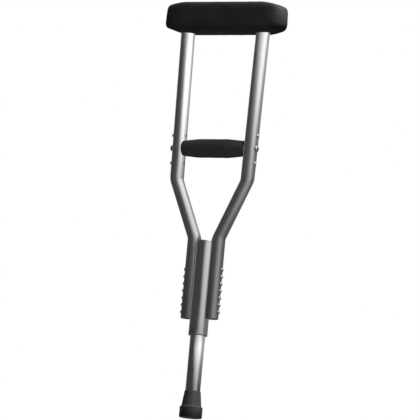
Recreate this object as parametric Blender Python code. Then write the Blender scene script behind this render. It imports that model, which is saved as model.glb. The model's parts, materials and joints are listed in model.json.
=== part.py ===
"""An aluminium underarm crutch, built from its separate pieces.

Metres, +Z up. The origin is the centre of the rubber tip's sole, +X runs along
the pad and the hand grip, and the snap button is on the +Y side.
"""

import math

import bmesh
import bpy
from mathutils import Vector

# Clearances between neighbouring pieces
GAP = 0.0003
SLIDE_GAP = 0.0004

# Uprights: one tube on each side, bent twice and running down beside the sleeve.
# Drawing the tube through its bends leaves it a little narrower between them.
TUBE_DIAMETER = 0.0254
TUBE_NECK_DIAMETER = 0.0238
TUBE_WALL = 0.0016
BEND_RADIUS = 0.030
LEG_X = 0.0249
LEG_BASE_Z = 0.1816
LOWER_BEND_Z = 0.3290
UPPER_BEND_Z = 0.4369
UPPER_BEND_X = 0.0736
UPRIGHT_TOP_X = 0.0787
UPRIGHT_TOP_Z = 0.7375
TUBE_END_CHAMFER = 0.0008

# Underarm pad and the crossbar inside it
PAD_LENGTH = 0.2415
PAD_WIDTH = 0.0515
PAD_HEIGHT = 0.0559
TUBE_DEPTH_IN_PAD = 0.0282
PAD_EDGE_RADIUS = 0.0078
PAD_END_REACH = 0.041
PAD_TOP_END_DROP = 0.0075
PAD_BOTTOM_END_DROP = 0.0101
PAD_END_BEND = 1.6
PAD_END_LEAN = 0.046
PAD_END_TAPER = 0.0029
PAD_CORNER_RADIUS = 0.0075
PAD_SIDE_RADIUS = 0.0160
PAD_CROWN = 0.0012
PAD_UNDER_CROSSBAR = 0.0065
CROSSBAR_PAST_TUBES = 0.0046
CROSSBAR_WIDTH = 0.031
CROSSBAR_ABOVE_TUBES = 0.007
PAD_PIN_RADIUS = 0.0020
PAD_PIN_BELOW_TUBE_TOP = 0.009

# Hand grip between the uprights, which its bolt holds
GRIP_Z = 0.4952
GRIP_RADIUS = 0.0172
GRIP_END_RADIUS = 0.0142
GRIP_FLAT_LENGTH = 0.060
GRIP_END_ROUND = 0.0006
GRIP_END_LAP = 0.0014
GRIP_CORE_GAP = 0.0005
GRIP_TUBE_RADIUS = 0.0095
GRIP_TUBE_WALL = 0.0015
GRIP_BUSH_FLANGE = 0.0016
GRIP_BUSH_DEPTH = 0.010
GRIP_HOLE_Y = -0.0018  # the bolt passes a little in front of the tubes' middles
BOLT_RADIUS = 0.0030
BOLT_HEAD_RADIUS = 0.0055
BOLT_HEAD_HEIGHT = 0.0024
WASHER_THICKNESS = 0.0008
NUT_WALL_OVER_BOLT = 0.0009

# Plugs in the spare grip holes, above and below the grip
UPPER_GRIP_HOLE_Z = 0.5188
LOWER_GRIP_HOLE_Z = 0.4678
HOLE_PLUG_HEAD_RADIUS = 0.0036
HOLE_PLUG_HEAD_HEIGHT = 0.0024
HOLE_PLUG_RECESS = 0.0005

# Sleeve between the lower legs, and the rivets that hold the legs to it
SLEEVE_DIAMETER = 0.0348
SLEEVE_WALL = 0.0018
SLEEVE_BASE_Z = 0.1505
SLEEVE_TOP_Z = 0.3248
SLEEVE_CAP_FLANGE = 0.0024
SLEEVE_CAP_DEPTH = 0.006
SLEEVE_CAP_ROUND = 0.0012
GROOVE_RUN_OUT_SLOPE = 0.36
RIVET_COUNT = 7
RIVET_PITCH = 0.013
RIVET_MIDDLE_Z = 0.2328
RIVET_RADIUS = 0.0019
RIVET_HEAD_RADIUS = 0.0036
RIVET_HEAD_HEIGHT = 0.0031
RIVET_TAIL_RADIUS = 0.0030
RIVET_TAIL_THICKNESS = 0.0008
LEG_PLUG_DEPTH = 0.0065

# Inner leg, which slides in the sleeve and locks with a snap button
INNER_LEG_DIAMETER = 0.0274
INNER_LEG_WALL = 0.0015
INNER_LEG_TOP_Z = 0.269
GUIDE_HEIGHT = 0.008
GUIDE_STEM_DEPTH = 0.012
BUSH_DEPTH = 0.015
BUSH_FLANGE = 0.0008
BUTTON_RADIUS = 0.0036
BUTTON_PROUD = 0.0025
BUTTON_FLANGE_RADIUS = 0.0052
BUTTON_FLANGE_THICKNESS = 0.0012
BUTTON_DOME_HEIGHT = 0.0020
BUTTON_TAIL_RADIUS = 0.0022
BUTTON_TAIL_LENGTH = 0.0012
SPRING_WIDTH = 0.007
SPRING_THICKNESS = 0.0006
SPRING_LENGTH = 0.042
SPRING_BEND_RADIUS = 0.003

# Rubber tip and the steel disc that keeps the tube from cutting through it
TIP_HEIGHT = 0.0490
TIP_LIP_RADIUS = 0.0147
TIP_NECK_RADIUS = 0.0184
TIP_RING_RADIUS = 0.0209
TIP_RING_HEIGHT = 0.0205
TIP_RING_EDGE = 0.0016
TIP_FLOOR = 0.020
TIP_DISC_THICKNESS = 0.0020
TREAD_DEPTH = 0.0015
TREAD_GROOVES = ((0.0070, 0.0100), (0.0130, 0.0160))

# Facets round each kind of turned piece
TUBE_SIDES = 24
SMALL_SIDES = 12
BEND_STEPS = 3
CUT_MARGIN = 0.004
SHARP_ANGLE = math.radians(35)
FLOAT_SLACK = 0.001

# Sizes that follow from the ones above
TUBE_RADIUS = TUBE_DIAMETER / 2
TUBE_NECK_RADIUS = TUBE_NECK_DIAMETER / 2
TUBE_BORE = TUBE_RADIUS - TUBE_WALL
SLEEVE_RADIUS = SLEEVE_DIAMETER / 2
SLEEVE_BORE = SLEEVE_RADIUS - SLEEVE_WALL
SLEEVE_TUBE_TOP_Z = SLEEVE_TOP_Z - SLEEVE_CAP_FLANGE - GAP
SLEEVE_TUBE_BASE_Z = SLEEVE_BASE_Z + BUSH_FLANGE + GAP
GROOVE_RADIUS = SLEEVE_RADIUS + GAP
INNER_LEG_RADIUS = INNER_LEG_DIAMETER / 2
INNER_LEG_BORE = INNER_LEG_RADIUS - INNER_LEG_WALL
PAD_BASE_Z = UPRIGHT_TOP_Z - TUBE_DEPTH_IN_PAD
CROSSBAR_LENGTH = 2 * (UPRIGHT_TOP_X + TUBE_RADIUS + CROSSBAR_PAST_TUBES)
CROSSBAR_BASE_Z = PAD_BASE_Z + PAD_UNDER_CROSSBAR
CROSSBAR_TOP_Z = UPRIGHT_TOP_Z + GAP + CROSSBAR_ABOVE_TUBES
PAD_PIN_Z = UPRIGHT_TOP_Z - PAD_PIN_BELOW_TUBE_TOP
RIVET_TAIL_SAG = SLEEVE_BORE - math.sqrt(SLEEVE_BORE**2 - RIVET_TAIL_RADIUS**2)
RIVET_TAIL_TOP = SLEEVE_BORE - GAP - RIVET_TAIL_SAG
TIP_DISC_Z = TIP_FLOOR + GAP
INNER_LEG_BASE_Z = TIP_DISC_Z + TIP_DISC_THICKNESS + GAP

AXIS_X = Vector((1.0, 0.0, 0.0))
AXIS_Y = Vector((0.0, 1.0, 0.0))


def clear_scene():
    for obj in list(bpy.data.objects):
        bpy.data.objects.remove(obj, do_unlink=True)


def finish_material(name, colour, roughness, metallic):
    """A Principled material with one colour, roughness and metallic value."""
    made = bpy.data.materials.new(name)
    made.use_nodes = True
    shader = made.node_tree.nodes["Principled BSDF"]
    shader.inputs["Base Color"].default_value = (*colour, 1.0)
    shader.inputs["Roughness"].default_value = roughness
    shader.inputs["Metallic"].default_value = metallic
    return made


def add_empty(name, location, rotation=(0.0, 0.0, 0.0)):
    empty = bpy.data.objects.new(name, None)
    empty.location = location
    empty.rotation_euler = rotation
    bpy.context.collection.objects.link(empty)
    return empty


def add_object(name, mesh, parent=None, location=(0.0, 0.0, 0.0), rotation=(0.0, 0.0, 0.0)):
    obj = bpy.data.objects.new(name, mesh)
    obj.location = location
    obj.rotation_euler = rotation
    obj.parent = parent
    bpy.context.collection.objects.link(obj)
    return obj


def mesh_from(name, bm, material=None):
    """A smooth-shaded mesh with its faces pointing out and its edges kept sharp."""
    bmesh.ops.recalc_face_normals(bm, faces=bm.faces)
    mesh = bpy.data.meshes.new(name)
    bm.to_mesh(mesh)
    bm.free()
    mesh.shade_smooth()
    mesh.set_sharp_from_angle(angle=SHARP_ANGLE)
    if material:
        mesh.materials.append(material)
    return mesh


def ring_of(bm, centre, radius, first, second, sides):
    """Vertices round a circle that lies in two directions, or one where it has no radius."""
    if radius == 0:
        return [bm.verts.new(centre)]
    turns = [2 * math.pi * i / sides for i in range(sides)]
    directions = [math.cos(turn) * first + math.sin(turn) * second for turn in turns]
    return [bm.verts.new(centre + radius * direction) for direction in directions]


def join_rings(bm, first, second):
    """Faces from one ring to the next, either of which may be a single vertex."""
    count = max(len(first), len(second))
    for i in range(count):
        corners = [first[i % len(first)], first[(i + 1) % len(first)]]
        corners += [second[(i + 1) % len(second)], second[i % len(second)]]
        bm.faces.new(list(dict.fromkeys(corners)))


def add_skin(bm, rings):
    """Faces from ring to ring along a bar, and one over each of its ends."""
    for first, second in zip(rings, rings[1:]):
        join_rings(bm, first, second)
    bm.faces.new(rings[0])
    bm.faces.new(rings[-1])


def add_turned(bm, profile, sides, closed=False, centre_x=0.0):
    """A profile of (radius, z) turned round Z. A closed profile makes a hollow ring."""
    rings = [
        ring_of(bm, Vector((centre_x, 0.0, z)), radius, AXIS_X, AXIS_Y, sides)
        for radius, z in profile
    ]
    pairs = list(zip(rings, rings[1:]))
    if closed:
        pairs.append((rings[-1], rings[0]))
    for first, second in pairs:
        join_rings(bm, first, second)


def turned_mesh(name, profile, sides, material=None, closed=False):
    bm = bmesh.new()
    add_turned(bm, profile, sides, closed)
    return mesh_from(name, bm, material)


def tube_profile(outer, inner, low, high):
    """The closed section of a straight tube standing on Z."""
    return [(outer, high), (outer, low), (inner, low), (inner, high)]


def dome_profile(radius, height, base_z, steps=3):
    """The outline of a dome from its rim up to its crown."""
    quarter = [math.pi / 2 * i / steps for i in range(steps)]
    rim = [(radius * math.cos(a), base_z + height * math.sin(a)) for a in quarter]
    return rim + [(0.0, base_z + height)]


def rounded_rim(radius, face_z, depth, steps=2):
    """Points round the edge of a disc, from its flat face down its side by the depth."""
    size = abs(depth)
    angles = [math.pi / 2 * i / steps for i in range(steps + 1)]
    return [
        (radius - size * (1 - math.sin(a)), face_z + depth * (1 - math.cos(a))) for a in angles
    ]


def make_cutter(name, mesh, parent=None, location=(0.0, 0.0, 0.0), rotation=(0.0, 0.0, 0.0)):
    cutter = add_object(name, mesh, parent, location, rotation)
    cutter.hide_render = True
    cutter.display_type = "WIRE"
    return cutter


def cut_away(target, cutter):
    modifier = target.modifiers.new("Cut " + cutter.name, "BOOLEAN")
    modifier.operation = "DIFFERENCE"
    modifier.solver = "EXACT"
    modifier.object = cutter


def add_rod(bm, start, end, radius, sides):
    """A closed rod from start to end."""
    start, end = Vector(start), Vector(end)
    along = (end - start).normalized()
    first = along.orthogonal().normalized()
    second = along.cross(first)
    add_skin(bm, [ring_of(bm, point, radius, first, second, sides) for point in (start, end)])


def add_block(bm, low, high):
    """A box between two opposite corners."""
    outline = ((low[0], low[1]), (high[0], low[1]), (high[0], high[1]), (low[0], high[1]))
    add_skin(bm, [[bm.verts.new((x, y, z)) for x, y in outline] for z in (low[2], high[2])])


def rounded_path(corners, radius, steps):
    """The corners joined by straight runs, with an arc of this radius at each inner one."""
    corners = [Vector(corner) for corner in corners]
    points = [corners[0]]
    for before, corner, after in zip(corners, corners[1:], corners[2:]):
        arriving = (corner - before).normalized()
        leaving = (after - corner).normalized()
        turn = arriving.angle(leaving)
        inward = (leaving - arriving * arriving.dot(leaving)).normalized()
        start = corner - arriving * radius * math.tan(turn / 2)
        centre = start + inward * radius
        for i in range(steps + 1):
            angle = turn * i / steps
            points.append(centre + radius * (arriving * math.sin(angle) - inward * math.cos(angle)))
    points.append(corners[-1])
    return points


def swept_mesh(name, path, radii, sides, material=None):
    """A round bar along a path in the XZ plane, with a radius at each of its points."""
    bm = bmesh.new()
    rings = []
    for i, (point, radius) in enumerate(zip(path, radii)):
        before, after = path[max(i - 1, 0)], path[min(i + 1, len(path) - 1)]
        sideways = AXIS_Y.cross((after - before).normalized())
        rings.append(ring_of(bm, point, radius, sideways, AXIS_Y, sides))
    add_skin(bm, rings)
    return mesh_from(name, bm, material)


def drape_on_tube(mesh, base, height, aside=0.0, radius=TUBE_RADIUS + GAP):
    """Bends the foot of a head down round a tube that runs along the mesh's X axis.

    The head's own middle lies aside from the tube's.
    """
    for vertex in mesh.vertices:
        share = 1 - (vertex.co.z - base) / height
        if share <= 1 + FLOAT_SLACK:
            y = vertex.co.y + aside
            vertex.co.z -= share * (radius - math.sqrt(radius**2 - y**2))


def upright_slope():
    return (UPRIGHT_TOP_X - UPPER_BEND_X) / (UPRIGHT_TOP_Z - UPPER_BEND_Z)


def upright_x(z):
    """How far the middle of an upright stands from the centre above its upper bend."""
    return UPPER_BEND_X + upright_slope() * (z - UPPER_BEND_Z)


def facing(side):
    """The turn that points a piece's own Z outwards, to +X or to -X."""
    return (0.0, side * math.pi / 2, 0.0)


def rivet_heights():
    middle = (RIVET_COUNT - 1) / 2
    return [RIVET_MIDDLE_Z + RIVET_PITCH * (i - middle) for i in range(RIVET_COUNT)]


def groove_mesh(offset, below):
    """The sleeve's space in a leg, grown by offset, which ends in a cone above the sleeve."""
    radius = GROOVE_RADIUS + offset
    shoulder, foot = SLEEVE_TOP_Z + GAP, LEG_BASE_Z - below
    cone = radius / GROOVE_RUN_OUT_SLOPE
    profile = [(0.0, shoulder + cone), (radius, shoulder), (radius, foot), (0.0, foot)]
    return turned_mesh("groove", profile, TUBE_SIDES)


def upright_path(side, past_ends):
    lean = upright_slope()
    corners = [
        (side * LEG_X, 0.0, LEG_BASE_Z - past_ends),
        (side * LEG_X, 0.0, LOWER_BEND_Z),
        (side * UPPER_BEND_X, 0.0, UPPER_BEND_Z),
        (side * (UPRIGHT_TOP_X + lean * past_ends), 0.0, UPRIGHT_TOP_Z + past_ends),
    ]
    return rounded_path(corners, BEND_RADIUS, BEND_STEPS)


def upright_radii(path):
    """The tube's radius along its path: its full size, and narrower from bend to bend."""
    return [
        TUBE_NECK_RADIUS if LOWER_BEND_Z < point.z < UPPER_BEND_Z else TUBE_RADIUS
        for point in path
    ]


def chamfered_bar(side):
    """The upright's path and radii, drawn in at both ends."""
    path = upright_path(side, 0.0)
    radii = upright_radii(path)
    foot = path[0] + (path[1] - path[0]).normalized() * TUBE_END_CHAMFER
    head = path[-1] + (path[-2] - path[-1]).normalized() * TUBE_END_CHAMFER
    end = TUBE_RADIUS - TUBE_END_CHAMFER
    return [path[0], foot, *path[1:-1], head, path[-1]], [end, *radii, end]


def upright_holes(side):
    """One mesh of all the holes across an upright: rivets, grip bolt, plugs and pad pin."""
    bm = bmesh.new()
    for z in rivet_heights():
        inner, outer = side * (GROOVE_RADIUS - CUT_MARGIN), side * (LEG_X + TUBE_DIAMETER)
        add_rod(bm, (inner, 0.0, z), (outer, 0.0, z), RIVET_RADIUS + GAP, SMALL_SIDES)
    for z in (UPPER_GRIP_HOLE_Z, GRIP_Z, LOWER_GRIP_HOLE_Z):
        middle = side * upright_x(z)
        start = (middle - TUBE_DIAMETER, GRIP_HOLE_Y, z)
        end = (middle + TUBE_DIAMETER, GRIP_HOLE_Y, z)
        add_rod(bm, start, end, BOLT_RADIUS + GAP, SMALL_SIDES)
    middle = side * upright_x(PAD_PIN_Z)
    start = (middle, -TUBE_DIAMETER, PAD_PIN_Z)
    end = (middle, TUBE_DIAMETER, PAD_PIN_Z)
    add_rod(bm, start, end, PAD_PIN_RADIUS + GAP, SMALL_SIDES)
    return mesh_from("upright holes", bm)


def make_upright(side, word, metal):
    path, radii = chamfered_bar(side)
    upright = add_object("upright_" + word, swept_mesh("upright", path, radii, TUBE_SIDES, metal))
    cut_away(upright, make_cutter("groove_cut_" + word, groove_mesh(0.0, CUT_MARGIN)))

    bore_path = upright_path(side, CUT_MARGIN)
    bore_radii = [radius - TUBE_WALL for radius in upright_radii(bore_path)]
    bore = make_cutter("bore_cut_" + word, swept_mesh("bore", bore_path, bore_radii, TUBE_SIDES))
    wall = groove_mesh(TUBE_WALL, 2 * CUT_MARGIN)
    cut_away(bore, make_cutter("wall_cut_" + word, wall))
    cut_away(upright, bore)
    cut_away(upright, make_cutter("hole_cut_" + word, upright_holes(side)))
    return upright


def make_leg_plug(side, word, plastic):
    """The plug that closes the foot of a lower leg, shaped round the sleeve like the leg."""
    radius = TUBE_BORE - GAP
    low, high = LEG_BASE_Z + GAP, LEG_BASE_Z + LEG_PLUG_DEPTH
    bm = bmesh.new()
    profile = [(0.0, high), (radius, high), (radius, low + GAP), (radius - GAP, low), (0.0, low)]
    add_turned(bm, profile, TUBE_SIDES, centre_x=side * LEG_X)
    plug = add_object("leg_end_plug_" + word, mesh_from("leg plug", bm, plastic))
    cut_away(plug, make_cutter("plug_cut_" + word, groove_mesh(TUBE_WALL + GAP, CUT_MARGIN)))


def make_uprights(metal, plastic):
    for side, word in ((-1, "left"), (1, "right")):
        make_upright(side, word, metal)
        make_leg_plug(side, word, plastic)


def pad_stations():
    """Where the pad's sections stand along X, closer together on its rounded ends."""
    straight = PAD_LENGTH / 2 - PAD_END_REACH
    steps = 9
    ends = [straight + PAD_END_REACH * math.sin(math.pi / 2 * i / steps) for i in range(steps + 1)]
    return [-x for x in reversed(ends)] + [0.0] + ends


def rounded_off(x, radius):
    """How far an edge of the pad has drawn in at x, where an arc rounds off its end."""
    past = max(abs(x) - (PAD_LENGTH / 2 - radius), 0.0)
    return radius - math.sqrt(max(radius**2 - past**2, 0.0))


def pad_section(x):
    """The half width, top and bottom of the pad at x."""
    past = max(abs(x) - (PAD_LENGTH / 2 - PAD_END_REACH), 0.0) / PAD_END_REACH
    curve, corner = past**PAD_END_BEND, rounded_off(x, PAD_CORNER_RADIUS)
    half_width = PAD_WIDTH / 2 - PAD_END_TAPER * past**2 - rounded_off(x, PAD_SIDE_RADIUS)
    top = PAD_BASE_Z + PAD_HEIGHT - PAD_TOP_END_DROP * curve - corner
    return half_width, top, PAD_BASE_Z + PAD_BOTTOM_END_DROP * curve + corner


def pad_ring(bm, x, steps=4):
    """The pad's rounded section at x, with the crown's fall across its top.

    Towards the ends the sections lean in, so the pad is longest at its underside.
    """
    half_width, top, bottom = pad_section(x)
    radius = min(PAD_EDGE_RADIUS, 0.95 * half_width)
    middle = (top + bottom) / 2
    lean = PAD_END_LEAN * x / (PAD_LENGTH / 2)
    ring = []
    for quarter in range(4):
        for i in range(steps + 1):
            angle = math.pi / 2 * (quarter + i / steps)
            side = 1 if quarter in (0, 3) else -1
            y = side * (half_width - radius) + radius * math.cos(angle)
            level = 1 if quarter in (0, 1) else -1
            z = middle + level * ((top - bottom) / 2 - radius) + radius * math.sin(angle)
            crown = PAD_CROWN * (2 * y / PAD_WIDTH) ** 2 if level > 0 else 0.0
            ring.append(bm.verts.new((x + lean * (middle - z), y, z - crown)))
    return ring


def stadium_mesh(name, length, width, low, high, material=None, steps=6):
    """A flat bar with round ends, standing between two heights."""
    bm = bmesh.new()
    radius = width / 2
    outline = []
    for side in (1, -1):
        for i in range(steps + 1):
            angle = side * math.pi / 2 - math.pi * i / steps
            across = side * (length / 2 - radius) + radius * math.cos(angle)
            outline.append((across, radius * math.sin(angle)))
    add_skin(bm, [[bm.verts.new((x, y, z)) for x, y in outline] for z in (low, high)])
    return mesh_from(name, bm, material)


def tube_socket_mesh():
    """The space of both tube ends, from below the pad to the sockets' roofs."""
    bm = bmesh.new()
    low, high = PAD_BASE_Z - CUT_MARGIN, UPRIGHT_TOP_Z + GAP
    for side in (-1, 1):
        start, end = [(side * upright_x(z), 0.0, z) for z in (low, high)]
        add_rod(bm, start, end, TUBE_RADIUS + GAP, TUBE_SIDES)
    return mesh_from("tube sockets", bm)


def make_crossbar(plastic):
    """The stiff bar inside the pad, whose sockets take the tops of the uprights."""
    mesh = stadium_mesh(
        "crossbar", CROSSBAR_LENGTH, CROSSBAR_WIDTH, CROSSBAR_BASE_Z, CROSSBAR_TOP_Z, plastic
    )
    crossbar = add_object("pad_crossbar", mesh)
    cut_away(crossbar, make_cutter("socket_cut_crossbar", tube_socket_mesh()))
    bm = bmesh.new()
    for side in (-1, 1):
        x = side * upright_x(PAD_PIN_Z)
        start, end = (x, -CROSSBAR_WIDTH, PAD_PIN_Z), (x, CROSSBAR_WIDTH, PAD_PIN_Z)
        add_rod(bm, start, end, PAD_PIN_RADIUS + GAP, SMALL_SIDES)
    cut_away(crossbar, make_cutter("pin_cut_crossbar", mesh_from("pin holes", bm)))


def make_pad_pins(steel):
    half_length = CROSSBAR_WIDTH / 2 - GAP
    profile = [
        (0.0, half_length),
        (PAD_PIN_RADIUS, half_length),
        (PAD_PIN_RADIUS, -half_length),
        (0.0, -half_length),
    ]
    mesh = turned_mesh("pad pin", profile, SMALL_SIDES, steel)
    for side, word in ((-1, "left"), (1, "right")):
        place = (side * upright_x(PAD_PIN_Z), 0.0, PAD_PIN_Z)
        add_object("pad_pin_" + word, mesh, location=place, rotation=(-math.pi / 2, 0.0, 0.0))


def make_pad(foam):
    """The foam pad: rounded ends, a slight crown, and the crossbar's space inside it."""
    bm = bmesh.new()
    add_skin(bm, [pad_ring(bm, x) for x in pad_stations()])
    pad = add_object("underarm_pad", mesh_from("underarm pad", bm, foam))
    space = stadium_mesh(
        "crossbar space",
        CROSSBAR_LENGTH + 2 * GAP,
        CROSSBAR_WIDTH + 2 * GAP,
        CROSSBAR_BASE_Z - GAP,
        CROSSBAR_TOP_Z + GAP,
    )
    cut_away(pad, make_cutter("crossbar_cut_pad", space))
    cut_away(pad, make_cutter("socket_cut_pad", tube_socket_mesh()))


def grip_core_half_length():
    return upright_x(GRIP_Z) - TUBE_RADIUS - GRIP_CORE_GAP


def tubes_beside_grip_mesh():
    """The space of both uprights along the grip's height."""
    bm = bmesh.new()
    low, high = GRIP_Z - 2 * GRIP_RADIUS, GRIP_Z + 2 * GRIP_RADIUS
    for side in (-1, 1):
        start, end = [(side * upright_x(z), 0.0, z) for z in (low, high)]
        add_rod(bm, start, end, TUBE_RADIUS + GAP, TUBE_SIDES)
    return mesh_from("tubes beside grip", bm)


def make_grip_foam(foam):
    """The foam: a level middle that narrows to both ends, which lap round the uprights."""
    half = upright_x(GRIP_Z) - TUBE_RADIUS + GRIP_END_LAP
    flat = GRIP_FLAT_LENGTH / 2
    bore = GRIP_TUBE_RADIUS + GAP
    soft, end = GRIP_END_ROUND, GRIP_END_RADIUS
    right = [(bore, half), (end - soft, half), (end, half - soft), (GRIP_RADIUS, flat)]
    left = [(radius, -x) for radius, x in reversed(right)]
    mesh = turned_mesh("hand grip", right + left, TUBE_SIDES, foam, closed=True)
    grip = add_object("hand_grip", mesh, location=(0.0, GRIP_HOLE_Y, GRIP_Z), rotation=facing(1))
    cut_away(grip, make_cutter("upright_cut_grip", tubes_beside_grip_mesh()))


def make_grip_core(metal, plastic):
    """The tube inside the foam, and the two bushes that centre it on the bolt."""
    end = grip_core_half_length()
    flange_base = end - GRIP_BUSH_FLANGE
    tube_end = flange_base - GAP
    inner = GRIP_TUBE_RADIUS - GRIP_TUBE_WALL
    profile = tube_profile(GRIP_TUBE_RADIUS, inner, -tube_end, tube_end)
    mesh = turned_mesh("grip tube", profile, TUBE_SIDES, metal, True)
    add_object("grip_tube", mesh, location=(0.0, GRIP_HOLE_Y, GRIP_Z), rotation=facing(1))

    hole = BOLT_RADIUS + GAP
    section = [
        (hole, end),
        (GRIP_TUBE_RADIUS, end),
        (GRIP_TUBE_RADIUS, flange_base),
        (inner - GAP, flange_base),
        (inner - GAP, flange_base - GRIP_BUSH_DEPTH),
        (hole, flange_base - GRIP_BUSH_DEPTH),
    ]
    mesh = turned_mesh("grip bush", section, TUBE_SIDES, plastic, True)
    for side, word in ((-1, "left"), (1, "right")):
        place = (0.0, GRIP_HOLE_Y, GRIP_Z)
        add_object("grip_bush_" + word, mesh, location=place, rotation=facing(side))


def washer_seat():
    """How far from the centre a saddle washer's foot lies."""
    return upright_x(GRIP_Z) + TUBE_RADIUS + GAP


def make_saddle_washers(metal):
    profile = [
        (BOLT_RADIUS + GAP, WASHER_THICKNESS),
        (BOLT_HEAD_RADIUS, WASHER_THICKNESS),
        (BOLT_HEAD_RADIUS, 0.0),
        (BOLT_RADIUS + GAP, 0.0),
    ]
    mesh = turned_mesh("saddle washer", profile, SMALL_SIDES, metal, True)
    drape_on_tube(mesh, 0.0, WASHER_THICKNESS, GRIP_HOLE_Y)
    for side, word in ((-1, "left"), (1, "right")):
        place = (side * washer_seat(), GRIP_HOLE_Y, GRIP_Z)
        add_object("grip_washer_" + word, mesh, location=place, rotation=facing(side))


def make_grip_bolt(steel):
    """A dome-headed bolt from the right upright, with a dome nut on the left one."""
    seat = washer_seat() + WASHER_THICKNESS + GAP
    bolt_end = seat + BOLT_HEAD_HEIGHT - NUT_WALL_OVER_BOLT - GAP
    head = dome_profile(BOLT_HEAD_RADIUS, BOLT_HEAD_HEIGHT, seat)
    shank = [(0.0, -bolt_end), (BOLT_RADIUS, -bolt_end), (BOLT_RADIUS, seat)]
    mesh = turned_mesh("grip bolt", shank + head, SMALL_SIDES, steel)
    add_object("grip_bolt", mesh, location=(0.0, GRIP_HOLE_Y, GRIP_Z), rotation=facing(1))

    bore = BOLT_RADIUS + GAP
    hole = [(0.0, bolt_end + GAP), (bore, bolt_end + GAP), (bore, seat)]
    nut = turned_mesh("grip nut", hole + head, SMALL_SIDES, steel)
    add_object("grip_nut", nut, location=(0.0, GRIP_HOLE_Y, GRIP_Z), rotation=facing(-1))


def make_hole_plugs(steel):
    """Plugs across the tubes that close the spare grip holes on both sides."""
    stem = BOLT_RADIUS
    foot = HOLE_PLUG_RECESS - TUBE_DIAMETER - GAP
    profile = [(0.0, foot), (stem, foot), (stem, 0.0)]
    profile += dome_profile(HOLE_PLUG_HEAD_RADIUS, HOLE_PLUG_HEAD_HEIGHT, 0.0)
    mesh = turned_mesh("hole plug", profile, SMALL_SIDES, steel)
    drape_on_tube(mesh, 0.0, HOLE_PLUG_HEAD_HEIGHT, GRIP_HOLE_Y)
    for side, word in ((-1, "left"), (1, "right")):
        for z, level in ((UPPER_GRIP_HOLE_Z, "upper"), (LOWER_GRIP_HOLE_Z, "lower")):
            place = (side * (upright_x(z) + TUBE_RADIUS + GAP), GRIP_HOLE_Y, z)
            add_object(f"hole_plug_{word}_{level}", mesh, location=place, rotation=facing(side))


def make_sleeve(metal):
    """The sleeve tube, with rivet holes at its sides and button holes at its back."""
    profile = tube_profile(SLEEVE_RADIUS, SLEEVE_BORE, SLEEVE_TUBE_BASE_Z, SLEEVE_TUBE_TOP_Z)
    sleeve = add_object("leg_sleeve", turned_mesh("sleeve", profile, TUBE_SIDES, metal, True))
    bm = bmesh.new()
    reach = SLEEVE_RADIUS + CUT_MARGIN
    for z in rivet_heights():
        add_rod(bm, (-reach, 0.0, z), (reach, 0.0, z), RIVET_RADIUS + GAP, SMALL_SIDES)
    sides = make_cutter("rivet_cut_sleeve", mesh_from("rivet holes", bm))
    cut_away(sleeve, sides)
    bm = bmesh.new()
    for z in rivet_heights():
        start, end = (0.0, SLEEVE_BORE - CUT_MARGIN, z), (0.0, reach, z)
        add_rod(bm, start, end, BUTTON_RADIUS + SLIDE_GAP, SMALL_SIDES)
    cut_away(sleeve, make_cutter("button_cut_sleeve", mesh_from("button holes", bm)))


def make_sleeve_cap(metal):
    """The cap that closes the top of the sleeve, with a rounded rim."""
    flange_base = SLEEVE_TOP_Z - SLEEVE_CAP_FLANGE
    stem = SLEEVE_BORE - GAP
    profile = [
        (0.0, SLEEVE_TOP_Z),
        *rounded_rim(SLEEVE_RADIUS, SLEEVE_TOP_Z, -SLEEVE_CAP_ROUND),
        (SLEEVE_RADIUS, flange_base),
        (stem, flange_base),
        (stem, flange_base - SLEEVE_CAP_DEPTH),
        (0.0, flange_base - SLEEVE_CAP_DEPTH),
    ]
    add_object("sleeve_cap", turned_mesh("sleeve cap", profile, TUBE_SIDES, metal))


def make_sleeve_bush(plastic):
    """The flanged bush in the sleeve's mouth, in which the inner leg slides."""
    bore = INNER_LEG_RADIUS + GAP
    stem = SLEEVE_BORE - GAP
    flange_top = SLEEVE_BASE_Z + BUSH_FLANGE
    profile = [
        (bore, flange_top + BUSH_DEPTH),
        (stem, flange_top + BUSH_DEPTH),
        (stem, flange_top),
        (SLEEVE_RADIUS, flange_top),
        (SLEEVE_RADIUS, SLEEVE_BASE_Z),
        (bore, SLEEVE_BASE_Z),
    ]
    add_object("sleeve_bush", turned_mesh("sleeve bush", profile, TUBE_SIDES, plastic, True))


def make_rivets(steel):
    """Dome-headed rivets through each leg into the sleeve, their tails spread inside it."""
    seat = LEG_X + TUBE_RADIUS + GAP
    tail = RIVET_TAIL_TOP - seat
    profile = [
        (0.0, tail - RIVET_TAIL_THICKNESS),
        (RIVET_TAIL_RADIUS, tail - RIVET_TAIL_THICKNESS),
        (RIVET_TAIL_RADIUS, tail),
        (RIVET_RADIUS, tail),
        (RIVET_RADIUS, 0.0),
    ]
    profile += dome_profile(RIVET_HEAD_RADIUS, RIVET_HEAD_HEIGHT, 0.0)
    mesh = turned_mesh("leg rivet", profile, SMALL_SIDES, steel)
    drape_on_tube(mesh, 0.0, RIVET_HEAD_HEIGHT)
    for side, word in ((-1, "left"), (1, "right")):
        for number, z in enumerate(rivet_heights(), start=1):
            place = (side * seat, 0.0, z)
            add_object(f"leg_rivet_{word}_{number}", mesh, location=place, rotation=facing(side))


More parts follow.
